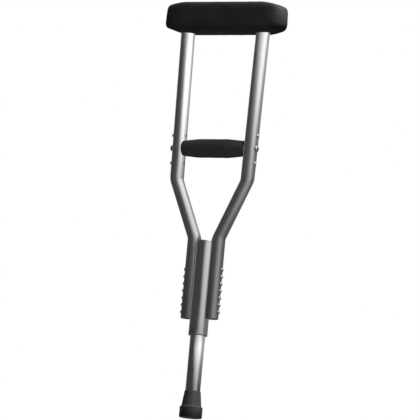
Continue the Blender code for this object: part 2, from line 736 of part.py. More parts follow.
def make_inner_leg(slide, metal):
    profile = tube_profile(INNER_LEG_RADIUS, INNER_LEG_BORE, INNER_LEG_BASE_Z, INNER_LEG_TOP_Z)
    leg = add_object("inner_leg", turned_mesh("inner leg", profile, TUBE_SIDES, metal, True), slide)
    bm = bmesh.new()
    start = (0.0, INNER_LEG_BORE - CUT_MARGIN, RIVET_MIDDLE_Z)
    end = (0.0, INNER_LEG_RADIUS + CUT_MARGIN, RIVET_MIDDLE_Z)
    add_rod(bm, start, end, BUTTON_RADIUS + SLIDE_GAP, SMALL_SIDES)
    cut_away(leg, make_cutter("button_cut_leg", mesh_from("leg button hole", bm)))


def make_leg_guide(slide, plastic):
    """The guide on top of the inner leg, with flats that run past the rivets' tails."""
    top, shoulder = INNER_LEG_TOP_Z + GUIDE_HEIGHT, INNER_LEG_TOP_Z + GAP
    rim, stem = SLEEVE_BORE - SLIDE_GAP, INNER_LEG_BORE - GAP
    foot = INNER_LEG_TOP_Z - GUIDE_STEM_DEPTH
    edge = rim - INNER_LEG_RADIUS
    profile = [
        (0.0, top),
        (rim - edge, top),
        (rim, top - edge),
        (rim, shoulder),
        (stem, shoulder),
        (stem, foot),
        (0.0, foot),
    ]
    guide = add_object("leg_guide", turned_mesh("leg guide", profile, TUBE_SIDES, plastic), slide)
    flat = RIVET_TAIL_TOP - RIVET_TAIL_THICKNESS - SLIDE_GAP
    bm = bmesh.new()
    for side in (-1, 1):
        inner, outer = (side * flat, -SLEEVE_RADIUS, foot), (side * SLEEVE_RADIUS, SLEEVE_RADIUS)
        add_block(bm, inner, (*outer, top + CUT_MARGIN))
    cut_away(guide, make_cutter("flat_cut_guide", mesh_from("guide flats", bm)))


def flange_face():
    """How far from the axis a flat flange of the button can lie inside the inner leg."""
    return math.sqrt(INNER_LEG_BORE**2 - BUTTON_FLANGE_RADIUS**2) - GAP


def make_snap_button(press, steel):
    """The button: a domed pin through leg and sleeve, held in by its flange."""
    crown = SLEEVE_RADIUS + BUTTON_PROUD
    face = flange_face()
    back = face - BUTTON_FLANGE_THICKNESS
    profile = [
        (0.0, back - BUTTON_TAIL_LENGTH),
        (BUTTON_TAIL_RADIUS, back - BUTTON_TAIL_LENGTH),
        (BUTTON_TAIL_RADIUS, back),
        (BUTTON_FLANGE_RADIUS, back),
        (BUTTON_FLANGE_RADIUS, face),
        (BUTTON_RADIUS, face),
    ]
    profile += dome_profile(BUTTON_RADIUS, BUTTON_DOME_HEIGHT, crown - BUTTON_DOME_HEIGHT)
    add_object("snap_button", turned_mesh("snap button", profile, SMALL_SIDES, steel), press)


def make_button_spring(slide, steel):
    """The hairpin leaf spring inside the inner leg that pushes the button out."""
    button_tail = flange_face() - BUTTON_FLANGE_THICKNESS - BUTTON_TAIL_LENGTH
    arm = button_tail - GAP - SPRING_THICKNESS / 2
    heel = -(math.sqrt(INNER_LEG_BORE**2 - SPRING_WIDTH**2 / 4) - GAP - SPRING_THICKNESS)
    head = RIVET_MIDDLE_Z + BUTTON_FLANGE_RADIUS
    foot = head - SPRING_LENGTH
    knee = RIVET_MIDDLE_Z - BUTTON_FLANGE_RADIUS
    corners = [
        (arm, head),
        (arm, knee),
        (SPRING_BEND_RADIUS, foot),
        (-SPRING_BEND_RADIUS, foot),
        (heel, knee),
        (heel, head),
    ]
    path = rounded_path([(0.0, y, z) for y, z in corners], SPRING_BEND_RADIUS, BEND_STEPS)
    half = SPRING_WIDTH / 2
    bm = bmesh.new()
    rings = []
    for i, point in enumerate(path):
        before, after = path[max(i - 1, 0)], path[min(i + 1, len(path) - 1)]
        along = (after - before).normalized()
        outward = Vector((0.0, -along.z, along.y)) * SPRING_THICKNESS / 2
        across = Vector((half, 0.0, 0.0))
        edges = [outward + across, outward - across, -outward - across, -outward + across]
        rings.append([bm.verts.new(point + edge) for edge in edges])
    add_skin(bm, rings)
    add_object("button_spring", mesh_from("button spring", bm, steel), slide)


def tread_profile():
    """The tip's sole from its rim to its centre, with its ring grooves."""
    profile = []
    for inner, outer in reversed(TREAD_GROOVES):
        profile += [(outer, 0.0), (outer, TREAD_DEPTH), (inner, TREAD_DEPTH), (inner, 0.0)]
    return profile + [(0.0, 0.0)]


def make_tip(slide, rubber, steel):
    """The rubber tip with its cone neck and wider foot ring, and its disc."""
    socket = INNER_LEG_RADIUS + GAP
    edge = TIP_RING_EDGE
    ring = TIP_RING_RADIUS
    profile = [
        (0.0, TIP_FLOOR),
        (socket, TIP_FLOOR),
        (socket, TIP_HEIGHT),
        (TIP_LIP_RADIUS, TIP_HEIGHT),
        (TIP_NECK_RADIUS, TIP_RING_HEIGHT + edge / 2),
        *rounded_rim(ring, TIP_RING_HEIGHT, -edge),
        *reversed(rounded_rim(ring, 0.0, edge)),
    ]
    mesh = turned_mesh("rubber tip", profile + tread_profile(), TUBE_SIDES, rubber)
    add_object("rubber_tip", mesh, slide)

    top = TIP_DISC_Z + TIP_DISC_THICKNESS
    disc = [(0.0, top), (INNER_LEG_RADIUS, top), (INNER_LEG_RADIUS, TIP_DISC_Z), (0.0, TIP_DISC_Z)]
    add_object("tip_disc", turned_mesh("tip disc", disc, TUBE_SIDES, steel), slide)


def main():
    clear_scene()
    upright_metal = finish_material("upright aluminium", (0.62, 0.63, 0.64), 0.28, 1.0)
    sleeve_metal = finish_material("sleeve aluminium", (0.58, 0.59, 0.60), 0.30, 1.0)
    leg_metal = finish_material("inner leg aluminium", (0.66, 0.67, 0.68), 0.25, 1.0)
    steel = finish_material("plated steel", (0.55, 0.56, 0.57), 0.25, 1.0)
    pad_foam = finish_material("pad foam", (0.018, 0.018, 0.018), 0.9, 0.0)
    grip_foam = finish_material("grip foam", (0.016, 0.016, 0.016), 0.9, 0.0)
    plastic = finish_material("black plastic", (0.03, 0.03, 0.03), 0.45, 0.0)
    nylon = finish_material("grey nylon", (0.35, 0.35, 0.36), 0.4, 0.0)
    rubber = finish_material("tip rubber", (0.03, 0.03, 0.03), 0.7, 0.0)

    slide = add_empty("inner leg slide", (0.0, 0.0, 0.0))
    press = add_empty("button press", (0.0, 0.0, RIVET_MIDDLE_Z), (-math.pi / 2, 0.0, 0.0))

    make_uprights(upright_metal, plastic)
    make_crossbar(plastic)
    make_pad_pins(steel)
    make_pad(pad_foam)

    make_grip_foam(grip_foam)
    make_grip_core(leg_metal, nylon)
    make_saddle_washers(steel)
    make_grip_bolt(steel)
    make_hole_plugs(steel)

    make_sleeve(sleeve_metal)
    make_sleeve_cap(sleeve_metal)
    make_sleeve_bush(plastic)
    make_rivets(steel)

    make_inner_leg(slide, leg_metal)
    make_leg_guide(slide, nylon)
    make_snap_button(press, steel)
    make_button_spring(slide, steel)
    make_tip(slide, rubber, steel)


main()
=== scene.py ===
"""The looks of the underarm crutch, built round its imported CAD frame.

Metres, +Z up, +X along the pad and the hand grip, and the snap button at +Y.
"""

import json
import math

import bmesh
import bpy
import numpy as np
from mathutils import Matrix, Vector, kdtree, noise

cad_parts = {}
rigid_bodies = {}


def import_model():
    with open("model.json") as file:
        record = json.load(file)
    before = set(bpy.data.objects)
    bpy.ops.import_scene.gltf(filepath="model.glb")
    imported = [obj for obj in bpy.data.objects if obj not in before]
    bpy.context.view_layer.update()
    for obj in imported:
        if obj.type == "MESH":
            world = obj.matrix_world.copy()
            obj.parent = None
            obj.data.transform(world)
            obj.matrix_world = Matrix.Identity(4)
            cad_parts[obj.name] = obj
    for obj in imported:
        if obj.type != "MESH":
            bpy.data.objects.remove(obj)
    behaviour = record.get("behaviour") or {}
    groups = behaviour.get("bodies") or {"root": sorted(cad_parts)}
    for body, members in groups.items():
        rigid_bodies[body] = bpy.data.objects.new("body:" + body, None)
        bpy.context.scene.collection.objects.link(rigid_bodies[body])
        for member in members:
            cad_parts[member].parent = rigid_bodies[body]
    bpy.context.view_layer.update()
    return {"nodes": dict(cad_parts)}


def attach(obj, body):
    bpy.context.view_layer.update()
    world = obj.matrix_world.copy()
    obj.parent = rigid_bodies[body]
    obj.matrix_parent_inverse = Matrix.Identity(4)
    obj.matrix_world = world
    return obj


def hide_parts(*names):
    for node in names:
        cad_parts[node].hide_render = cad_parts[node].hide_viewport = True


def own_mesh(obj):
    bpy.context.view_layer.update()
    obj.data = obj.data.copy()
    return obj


# Sizes of the object, as in its CAD
GAP = 0.0003
SLIDE_GAP = 0.0004
TUBE_RADIUS = 0.0127
TUBE_NECK_RADIUS = 0.0119
TUBE_WALL = 0.0016
BEND_RADIUS = 0.030
LEG_X = 0.0249
LEG_BASE_Z = 0.1816
LOWER_BEND_Z = 0.3290
UPPER_BEND_Z = 0.4369
UPPER_BEND_X = 0.0736
UPRIGHT_TOP_X = 0.0787
UPRIGHT_TOP_Z = 0.7375
NECK_RUN = 0.007
TUBE_END_ROUND = 0.0008

PAD_LENGTH = 0.2415
PAD_WIDTH = 0.0515
PAD_BASE_Z = 0.7093
PAD_TOP_Z = 0.7652
PAD_EDGE_RADIUS = 0.0078
PAD_END_REACH = 0.041
PAD_TOP_END_DROP = 0.0075
PAD_BOTTOM_END_DROP = 0.0101
PAD_END_BEND = 1.6
PAD_END_LEAN = 0.046
PAD_END_TAPER = 0.0029
PAD_CORNER_RADIUS = 0.0075
PAD_SIDE_RADIUS = 0.0160
PAD_CROWN = 0.0012
CROSSBAR_LENGTH = 0.192
CROSSBAR_WIDTH = 0.031
CROSSBAR_BASE_Z = 0.7158
CROSSBAR_TOP_Z = 0.7448
PAD_PIN_RADIUS = 0.0020
PAD_PIN_BELOW_TUBE_TOP = 0.009

GRIP_Z = 0.4952
GRIP_RADIUS = 0.0172
GRIP_END_RADIUS = 0.0142
GRIP_FLAT_LENGTH = 0.060
GRIP_END_ROUND = 0.0006
GRIP_END_LAP = 0.0014
GRIP_SHOULDER_RADIUS = 0.020
GRIP_BORE = 0.0098
GRIP_HOLE_Y = -0.0018
BOLT_RADIUS = 0.0030
BOLT_HEAD_RADIUS = 0.0055
BOLT_HEAD_HEIGHT = 0.0024
WASHER_THICKNESS = 0.0008
NUT_WALL_OVER_BOLT = 0.0009
UPPER_GRIP_HOLE_Z = 0.5188
LOWER_GRIP_HOLE_Z = 0.4678
HOLE_PLUG_RADIUS = 0.0036
HOLE_PLUG_HEIGHT = 0.0024
HOLE_PLUG_RECESS = 0.0005

SLEEVE_RADIUS = 0.0174
SLEEVE_WALL = 0.0018
SLEEVE_BASE_Z = 0.1505
SLEEVE_TOP_Z = 0.3248
SLEEVE_CAP_FLANGE = 0.0024
SLEEVE_CAP_DEPTH = 0.006
SLEEVE_CAP_ROUND = 0.0012
GROOVE_RUN_OUT_SLOPE = 0.36
RIVET_COUNT = 7
RIVET_PITCH = 0.013
RIVET_MIDDLE_Z = 0.2328
RIVET_RADIUS = 0.0019
RIVET_HEAD_RADIUS = 0.0036
RIVET_HEAD_HEIGHT = 0.0031
RIVET_TAIL_RADIUS = 0.0030
RIVET_TAIL_THICKNESS = 0.0008
LEG_PLUG_DEPTH = 0.0065

INNER_LEG_RADIUS = 0.0137
INNER_LEG_WALL = 0.0015
INNER_LEG_BASE_Z = 0.0226
INNER_LEG_TOP_Z = 0.269
BUSH_DEPTH = 0.015
BUSH_FLANGE = 0.0008
BUTTON_RADIUS = 0.0036
BUTTON_PROUD = 0.0025
BUTTON_FLANGE_RADIUS = 0.0052
BUTTON_FLANGE_THICKNESS = 0.0012
BUTTON_DOME_HEIGHT = 0.0020
BUTTON_TAIL_RADIUS = 0.0022
BUTTON_TAIL_LENGTH = 0.0012
SPRING_WIDTH = 0.007
SPRING_THICKNESS = 0.0006
SPRING_LENGTH = 0.042
SPRING_BEND_RADIUS = 0.003

TIP_HEIGHT = 0.0490
TIP_LIP_RADIUS = 0.0147
TIP_NECK_RADIUS = 0.0184
TIP_RING_RADIUS = 0.0209
TIP_RING_HEIGHT = 0.0205
TIP_RING_EDGE = 0.0016
TIP_NECK_ROUND = 0.0010
TIP_FLOOR = 0.020
TREAD_DEPTH = 0.0015
TREAD_GROOVES = ((0.0070, 0.0100), (0.0130, 0.0160))

GROOVE_RADIUS = SLEEVE_RADIUS + GAP
SLEEVE_BORE = SLEEVE_RADIUS - SLEEVE_WALL
INNER_LEG_BORE = INNER_LEG_RADIUS - INNER_LEG_WALL

# How finely the shapes are meshed
TUBE_SIDES = 72
SMALL_SIDES = 32
GROOVE_SIDES = 96
BEND_STEPS = 14
RING_SPACING = 0.008
FILLET_STEPS = 4
EDGE_STRIP = 0.0006
CUT_MARGIN = 0.004
THIN_EDGE = 0.0002
FINE_EDGE = 0.0003
SMALL_EDGE = 0.0004
SOFT_EDGE = 0.0005
BROAD_EDGE = 0.0006
BORE_EDGE = 0.0001
SHARP_ANGLE = math.radians(35)

# The pad's foam: its mesh, and how its faces fill out under a little pressure
FOAM_SPACING = 0.0022
FOAM_VOXEL = 0.004
FOAM_PRESSURE = 4.0
FOAM_FRAMES = 20
FOAM_MOST_MOVE = 0.0009
GRIP_SPACING = 0.0014
WASHER_SPACING = 0.0006
GRIP_SIDES = 88
CROSSBAR_END_STEPS = 16
PAD_ARC_STEPS = 6
PAD_SIDE_STEPS = 15
PAD_END_STEPS = 8

# How uneven the foam's skin is: the size and the height of its swells, in layers
PAD_SKIN = ((0.011, 0.00022), (0.0035, 0.00006))
GRIP_SKIN = ((0.010, 0.0002), (0.0035, 0.00006))

# How much the noise is stretched along a drawn tube, for long thin streaks
DRAWN_SCALE = 0.02

# Camera
CAMERA_AZIMUTH = 29.63
CAMERA_ELEVATION = -7.93
CAMERA_ROLL = 5.24
CAMERA_TARGET_Z = 0.382
CAMERA_DISTANCE = 11.54
CAMERA_LENS = 543.45
CAMERA_SHIFT = (0.00166, -0.0001)

# What the metal shows of the studio, by height: how bright its opening is, the azimuths that
# it opens between, and the glow behind
STUDIO = (
    (0.10, 0.20, 20, 110, 0.00),
    (0.15, 0.50, 0, 115, 0.15),
    (0.19, 1.15, -35, 125, 0.40),
    (0.20, 1.15, -35, 125, 0.40),
    (0.21, 0.55, 5, 110, 0.20),
    (0.28, 0.65, 5, 105, 0.10),
    (0.38, 0.80, -5, 110, 0.05),
    (0.48, 0.65, 20, 110, 0.10),
    (0.58, 0.80, 15, 110, 0.15),
    (0.68, 1.75, 15, 115, 0.45),
    (0.82, 1.40, -70, 135, 0.35),
    (0.98, 1.40, -70, 135, 1.30),
)

# Over how many degrees the opening brightens and dims, its strength at the front, and how
# much stronger it gets with each degree towards the right
OPENING_RISE = 45.0
OPENING_FALL = 40.0
OPENING_AT_FRONT = 0.55
OPENING_TREND = 0.0075

# The glows beside the opening
BACK_GLOW_AZIMUTH = 142.0
LEFT_GLOW_AZIMUTH = -142.0
LEFT_GLOW = 0.22
GLOW_FROM_ABOVE = 1.13
GLOW_ALL_ROUND = 0.067
GLOW_ALL_ROUND_AT_FOOT = 0.043

# The cards that hold it, an upright oval round the crutch, and the card between the uprights
CARDS_RADIUS = 0.53
CARDS_MIDDLE_Z = 0.42
CARDS_HALF_HEIGHT = 1.0
LIGHT_CARD_GLOW = 0.7
LIGHT_CARD_Y = (-0.27, 0.15)
LIGHT_CARD_Z = (0.30, 0.84)

# The rest of the studio
WORLD_FILL = 0.14
LAMPS_TARGET_Z = 0.45
FLOOR_RADIUS = 1.6
FLOOR_DROP = 0.0004

SIDES = ((-1, "left"), (1, "right"))
AXIS_X = Vector((1.0, 0.0, 0.0))
AXIS_Y = Vector((0.0, 1.0, 0.0))


# Meshes


def add_object(name, mesh, matrix=None):
    mesh.name = name
    if matrix is not None:
        mesh.transform(matrix)
    obj = bpy.data.objects.new(name, mesh)
    bpy.context.scene.collection.objects.link(obj)
    return obj


def shade(mesh):
    """Shades the mesh smooth, with its edges kept sharp."""
    mesh.shade_smooth()
    mesh.set_sharp_from_angle(angle=SHARP_ANGLE)


def mesh_from(bm):
    """A mesh with its faces pointing out."""
    bmesh.ops.recalc_face_normals(bm, faces=bm.faces)
    mesh = bpy.data.meshes.new("mesh")
    bm.to_mesh(mesh)
    bm.free()
    shade(mesh)
    return mesh


def ring_of(bm, centre, radius, first, second, sides):
    """Vertices round a circle that lies in two directions, or one where it has no radius."""
    if radius == 0:
        return [bm.verts.new(centre)]
    turns = [2 * math.pi * i / sides for i in range(sides)]
    directions = [math.cos(turn) * first + math.sin(turn) * second for turn in turns]
    return [bm.verts.new(centre + radius * direction) for direction in directions]


def join_rings(bm, rings):
    """Faces from each ring to the next, where a ring may be a single point."""
    for first, second in zip(rings, rings[1:]):
        for i in range(max(len(first), len(second))):
            corners = [first[i % len(first)], first[(i + 1) % len(first)]]
            corners += [second[(i + 1) % len(second)], second[i % len(second)]]
            bm.faces.new(list(dict.fromkeys(corners)))


def add_skin(bm, rings):
    """Faces from ring to ring along a bar, and one over each of its ends."""
    join_rings(bm, rings)
    bm.faces.new(rings[0])
    bm.faces.new(rings[-1])


def arc_at(before, corner, after, radius, steps):
    """Points on the arc that rounds off a corner between its two neighbours."""
    arriving, leaving = (corner - before).normalized(), (after - corner).normalized()
    turn = arriving.angle(leaving)
    inward = (leaving - arriving * arriving.dot(leaving)).normalized()
    centre = corner - arriving * radius * math.tan(turn / 2) + inward * radius
    turns = [turn * k / steps for k in range(steps + 1)]
    return [centre + radius * (arriving * math.sin(a) - inward * math.cos(a)) for a in turns]


def filleted(corners, steps=FILLET_STEPS):
    """A line through (radius, z) corners, with an arc at each one that has a third value."""
    places = [Vector(corner[:2]) for corner in corners]
    points = []
    for i, (here, corner) in enumerate(zip(places, corners)):
        if len(corner) == 2:
            points.append(here)
        else:
            after = places[(i + 1) % len(places)]
            points += arc_at(places[i - 1], here, after, corner[2], steps)
    return [(max(point.x, 0.0), point.y) for point in points]


def split_long_runs(profile, longest):
    """The same line with extra points where two neighbours stand far apart."""
    points = [profile[0]]
    for before, after in zip(profile, profile[1:]):
        length = math.dist(before, after)
        count = max(1, math.ceil(length / longest))
        for k in range(1, count + 1):
            share = k / count
            points.append(tuple(a + (b - a) * share for a, b in zip(before, after)))
    return points


def turned_mesh(profile, sides=TUBE_SIDES, closed=False, centre_x=0.0):
    """A profile of (radius, z) turned round Z. A closed profile makes a hollow ring."""
    bm = bmesh.new()
    rings = [
        ring_of(bm, Vector((centre_x, 0.0, z)), radius, AXIS_X, AXIS_Y, sides)
        for radius, z in profile
    ]
    join_rings(bm, rings + rings[:1] if closed else rings)
    return mesh_from(bm)


def tube_section(outer, inner, low, high, edge):
    """The closed section of a straight tube, its outer edges rounded."""
    levels = (high - edge, high - edge - EDGE_STRIP, low + edge + EDGE_STRIP, low + edge)
    long_side = split_long_runs([(outer, z) for z in levels], RING_SPACING)
    top = filleted([(inner, high), (outer, high, edge), (outer, low)])[1:-2]
    bottom = filleted([(outer, high), (outer, low, edge), (inner, low)])[2:-1]
    inside = split_long_runs([(inner, low), (inner, high)], RING_SPACING)
    return top + long_side + bottom + inside


def dome_line(radius, height, base_z, steps=8):
    """The outline of a dome from its rim up to its crown."""
    quarter = [math.pi / 2 * i / steps for i in range(steps)]
    rim = [(radius * math.cos(a), base_z + height * math.sin(a)) for a in quarter]
    return rim + [(0.0, base_z + height)]


def add_rod(bm, start, end, radius, sides=SMALL_SIDES):
    """A closed rod from start to end."""
    start, end = Vector(start), Vector(end)
    along = (end - start).normalized()
    first = along.orthogonal().normalized()
    second = along.cross(first)
    add_skin(bm, [ring_of(bm, point, radius, first, second, sides) for point in (start, end)])


def rounded_path(corners, radius, steps):
    """The corners joined by straight runs, with an arc of this radius at each inner one."""
    corners = [Vector(corner) for corner in corners]
    points = [corners[0]]
    for before, corner, after in zip(corners, corners[1:], corners[2:]):
        points += arc_at(before, corner, after, radius, steps)
    return points + [corners[-1]]


def swept_mesh(path, radii):
    """A round bar along a path in the XZ plane, with a radius at each of its points."""
    bm = bmesh.new()
    rings = []
    for i, (point, radius) in enumerate(zip(path, radii)):
        before, after = path[max(i - 1, 0)], path[min(i + 1, len(path) - 1)]
        sideways = AXIS_Y.cross((after - before).normalized())
        rings.append(ring_of(bm, point, radius, sideways, AXIS_Y, TUBE_SIDES))
    add_skin(bm, rings)
    return mesh_from(bm)


def take_evaluated(obj):
    """Makes the object's mesh what its modifiers give, and takes the modifiers off."""
    graph = bpy.context.evaluated_depsgraph_get()
    mesh = bpy.data.meshes.new_from_object(obj.evaluated_get(graph))
    obj.modifiers.clear()
    obj.data = mesh


def apply_modifier(obj, kind, **settings):
    modifier = obj.modifiers.new(kind, kind)
    for key, value in settings.items():
        setattr(modifier, key, value)
    take_evaluated(obj)


def cut_away(target, *meshes):
    """Cuts the meshes out of the object for good."""
    cutters = [add_object("cutter", mesh) for mesh in meshes]
    for cutter in cutters:
        modifier = target.modifiers.new("cut", "BOOLEAN")
        modifier.operation, modifier.solver, modifier.object = "DIFFERENCE", "EXACT", cutter
    take_evaluated(target)
    for cutter in cutters:
        bpy.data.objects.remove(cutter)
    shade(target.data)


def drape_on_tube(mesh, height, aside=0.0):
    """Bends the foot of a head, at 0, down round a tube that runs along the mesh's X axis.

    The head's own middle lies aside from the tube's.
    """
    radius = TUBE_RADIUS + GAP
    for vertex in mesh.vertices:
        share = 1 - vertex.co.z / height
        if share <= 1.001:
            y = vertex.co.y + aside
            vertex.co.z -= share * (radius - math.sqrt(radius**2 - y**2))


def upright_x(z):
    """How far the middle of an upright stands from the centre above its upper bend."""
    slope = (UPRIGHT_TOP_X - UPPER_BEND_X) / (UPRIGHT_TOP_Z - UPPER_BEND_Z)
    return UPPER_BEND_X + slope * (z - UPPER_BEND_Z)


def upright_rods(low, high):
    """The space that both uprights take between two heights, with a gap round them."""
    bm = bmesh.new()
    for side, _ in SIDES:
        ends = [(side * upright_x(z), 0.0, z) for z in (low, high)]
        add_rod(bm, *ends, TUBE_RADIUS + GAP, TUBE_SIDES)
    return mesh_from(bm)


def facing(side, x, z, y=0.0):
    """Turns a piece's own Z outwards, to +X or to -X, and places it."""
    turn = Matrix.Rotation(side * math.pi / 2, 4, "Y")
    return Matrix.Translation((side * x, y, z)) @ turn


def rivet_heights():
    middle = (RIVET_COUNT - 1) / 2
    return [RIVET_MIDDLE_Z + RIVET_PITCH * (i - middle) for i in range(RIVET_COUNT)]


def finish_piece(obj, body, look, *nodes):
    """Gives the piece its look, hangs it on the body it rides on, and hides the CAD nodes it stands
    for.
    """
    material, slot = look
    obj.data.materials.clear()
    obj.data.materials.append(material)
    obj.visible_glossy = False
    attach(obj, body)
    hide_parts(*nodes)


# Materials


class Shader:
    """The node tree of a new material or world, with short calls to add its nodes."""

    def __init__(self, name, owners=bpy.data.materials):
        self.owner = owners.new(name)
        self.owner.use_nodes = True
        self.tree = self.owner.node_tree
        self.principled = self.tree.nodes.get("Principled BSDF")

    def add(self, kind, inputs=None, output=0, **settings):
        """A node with its settings and inputs, which are values or sockets, and its output."""
        node = self.tree.nodes.new("ShaderNode" + kind)
        for key, value in settings.items():
            setattr(node, key, value)
        for key, value in (inputs or {}).items():
            self.feed(node.inputs[key], value)
        return node.outputs[output]

    def feed(self, socket, value):
        if isinstance(value, bpy.types.NodeSocket):
            self.tree.links.new(value, socket)
        else:
            socket.default_value = value

    def set(self, **inputs):
        """Sets the Principled shader's own inputs, with _ for a space in their names."""
        for key, value in inputs.items():
            self.feed(self.principled.inputs[key.replace("_", " ")], value)

    def show(self, surface):
        """Shows another surface than the Principled shader's."""
        output = next(node for node in self.tree.nodes if node.type.startswith("OUTPUT"))
        self.tree.links.new(surface, output.inputs["Surface"])

    def place(self):
        return self.add("TexCoord", output="Object")

    def split(self, vector):
        return self.add("SeparateXYZ", {0: vector}).node.outputs

    def scaled(self, vector, scale):
        return self.add("Mapping", {"Vector": vector, "Scale": scale})

    def noise(self, vector, scale, detail=3.0, roughness=0.5):
        inputs = {"Vector": vector, "Scale": scale, "Detail": detail, "Roughness": roughness}
        return self.add("TexNoise", inputs, output="Fac")

    def spread(self, value, low, high, start=0.0, end=1.0, smooth=False):
        """The value mapped from start..end to low..high."""
        inputs = {0: value, 1: start, 2: end, 3: low, 4: high}
        kind = "SMOOTHSTEP" if smooth else "LINEAR"
        return self.add("MapRange", inputs, interpolation_type=kind)

    def math(self, operation, total, *others):
        """The operation on one value, or from each value to the next."""
        for other in others or (0.0,):
            total = self.add("Math", {0: total, 1: other}, operation=operation)
        return total

    def mix(self, share, first, second):
        """A colour between two others. The node's colours are its sockets 6 and 7."""
        inputs = {0: share, 6: (*first, 1.0), 7: (*second, 1.0)}
        return self.add("Mix", inputs, 2, data_type="RGBA")

    def grey(self, share, first, second):
        return self.mix(share, (first,) * 3, (second,) * 3)

    def tinted(self, colour, amount):
        return self.add("VectorMath", {0: colour, "Scale": amount}, operation="SCALE")

    def bump(self, height, distance):
        return self.add("Bump", {"Strength": 1.0, "Distance": distance, "Height": height})


def drawn_metal(name, top, foot, top_z, foot_z, along=True, dull=1.0):
    """Aluminium drawn into tube: (brightness, roughness) at its top and at its foot. The brightness
    falling from top to foot is painted shade, for how the light dims down the tube.

    Its lines follow what mark_drawing stores, or else run along Z. The dull value is
    how metallic it still is at its foot.
    """
    shader = Shader(name)
    place = shader.place()
    if along:
        line = shader.add("Attribute", {}, output="Vector", attribute_name="drawn")
    else:
        line = shader.scaled(place, (1.0, 1.0, DRAWN_SCALE))
    streaks = shader.noise(line, 900.0, 2.0)
    patches = shader.noise(place, 34.0, 3.0)
    # Painted shade: the grey runs from the top's brightness to the foot's, lighter at the top and
    # darker at the foot.
    share = shader.spread(shader.split(place)["Z"], 0.0, 1.0, top_z, foot_z, smooth=True)
    colour = shader.grey(share, top[0], foot[0])
    colour = shader.tinted(colour, shader.spread(streaks, 0.97, 1.02, 0.25, 0.75))
    level = shader.math(
        "ADD",
        shader.spread(share, top[1], foot[1]),
        shader.spread(streaks, -0.02, 0.02, 0.25, 0.75),
        shader.spread(patches, -0.015, 0.02, 0.3, 0.7),
    )
    shader.set(Base_Color=colour, Roughness=level)
    shader.set(Metallic=1.0 if dull == 1.0 else shader.spread(share, 1.0, dull))
    shader.set(Normal=shader.bump(streaks, 0.000004))
    return shader.owner


def turned_metal(name, brightness, roughness):
    """A plated fastener, with faint tarnish and fine handling marks."""
    shader = Shader(name)
    place = shader.place()
    patches = shader.noise(place, 260.0, 4.0)
    marks = shader.noise(place, 2600.0, 2.0)
    shade = shader.spread(patches, 0.82, 1.05, 0.3, 0.7)
    level = shader.spread(patches, roughness + 0.06, roughness - 0.03, 0.3, 0.7)
    shader.set(Base_Color=shader.tinted((brightness,) * 3, shade), Roughness=level)
    shader.set(Metallic=1.0, Normal=shader.bump(marks, 0.00001))
    return shader.owner


def foam(name, dark, light, painted_end_shade=None):
    """Closed-cell foam: a fine pebbled skin with small pores, whose hollows are darkened with
    painted shade.

    The last argument gives painted shade for the ends: how far from the middle it starts and where
    it is full, and the heights between which it turns from darker to paler, so that the ends are
    lighter at the top and darker below, for how the light falls on them.
    """
    shader = Shader(name)
    place = shader.place()
    cells = shader.add("TexVoronoi", {"Vector": place, "Scale": 950.0}, output="Distance")
    grain = shader.noise(place, 1500.0, 3.0, 0.6)
    lumps = shader.noise(place, 240.0, 2.0)
    clouds = shader.noise(place, 26.0, 2.0)
    # The colour mixes grain and clouds of tone, and painted shade that darkens the pores.
    share = shader.math(
        "ADD",
        shader.spread(grain, 0.0, 0.55, 0.3, 0.7),
        shader.spread(clouds, -0.1, 0.4, 0.3, 0.7),
        shader.spread(cells, -0.3, 0.0, 0.0, 0.35),
    )
    colour = shader.grey(share, dark, light)
    # Painted shade: towards the ends the colour turns lighter at the top and darker below, for how
    # the light falls there.
    if painted_end_shade:
        start, end, low, high = painted_end_shade
        parts = shader.split(place)
        away = shader.spread(shader.math("ABSOLUTE", parts["X"]), 0.0, 1.0, start, end, smooth=True)
        painted_shade = shader.math("MULTIPLY", away, shader.spread(parts["Z"], -0.5, 0.5, low, high))
        colour = shader.tinted(colour, shader.math("ADD", painted_shade, 1.0))
    pores = shader.spread(cells, 0.0, 0.7, 0.0, 0.7)
    height = shader.math("ADD", pores, grain, shader.math("MULTIPLY", lumps, 0.8))
    shader.set(Base_Color=colour, Roughness=shader.spread(grain, 0.82, 0.95, 0.3, 0.7))
    shader.set(Specular_IOR_Level=0.05, Normal=shader.bump(height, 0.00022))
    return shader.owner


def moulded(name, dark, light, roughness):
    """Moulded plastic, with a fine satin grain and faint scuffs."""
    shader = Shader(name)
    place = shader.place()
    grain = shader.noise(place, 1100.0, 3.0, 0.55)
    scuffs = shader.noise(shader.scaled(place, (1.0, 1.0, 3.0)), 75.0, 4.0, 0.6)
    share = shader.math("MULTIPLY", shader.spread(scuffs, 0.0, 1.0, 0.4, 0.75), 0.7)
    share = shader.math("ADD", share, shader.spread(grain, 0.0, 0.3, 0.35, 0.65))
    level = shader.spread(scuffs, roughness - 0.05, roughness + 0.08, 0.35, 0.7)
    shader.set(Base_Color=shader.grey(share, dark, light), Roughness=level)
    shader.set(Normal=shader.bump(grain, 0.00002))
    return shader.owner


def tip_rubber():
    """The tip's rubber: dusty, with painted shade that darkens it towards the ground."""
    shader = Shader("tip rubber")
    place = shader.place()
    grain = shader.noise(place, 700.0, 3.0, 0.55)
    dust = shader.noise(place, 90.0, 4.0, 0.6)
    height = shader.split(place)["Z"]
    # Painted shade: the grey darkens over the ring's lower part, towards the ground.
    level = shader.spread(height, 0.020, 0.058, 0.004, 0.0195, smooth=True)
    shade = shader.spread(dust, 0.75, 1.2, 0.3, 0.7)
    shade = shader.math("ADD", shade, shader.spread(grain, -0.12, 0.12, 0.3, 0.7))
    level = shader.math("MULTIPLY", level, shade)
    colour = shader.add("CombineColor", {0: level, 1: level, 2: level})
    shader.set(Base_Color=colour, Roughness=shader.spread(dust, 0.42, 0.55, 0.3, 0.7))
    shader.set(Specular_IOR_Level=0.6, Normal=shader.bump(grain, 0.00006))
    return shader.owner


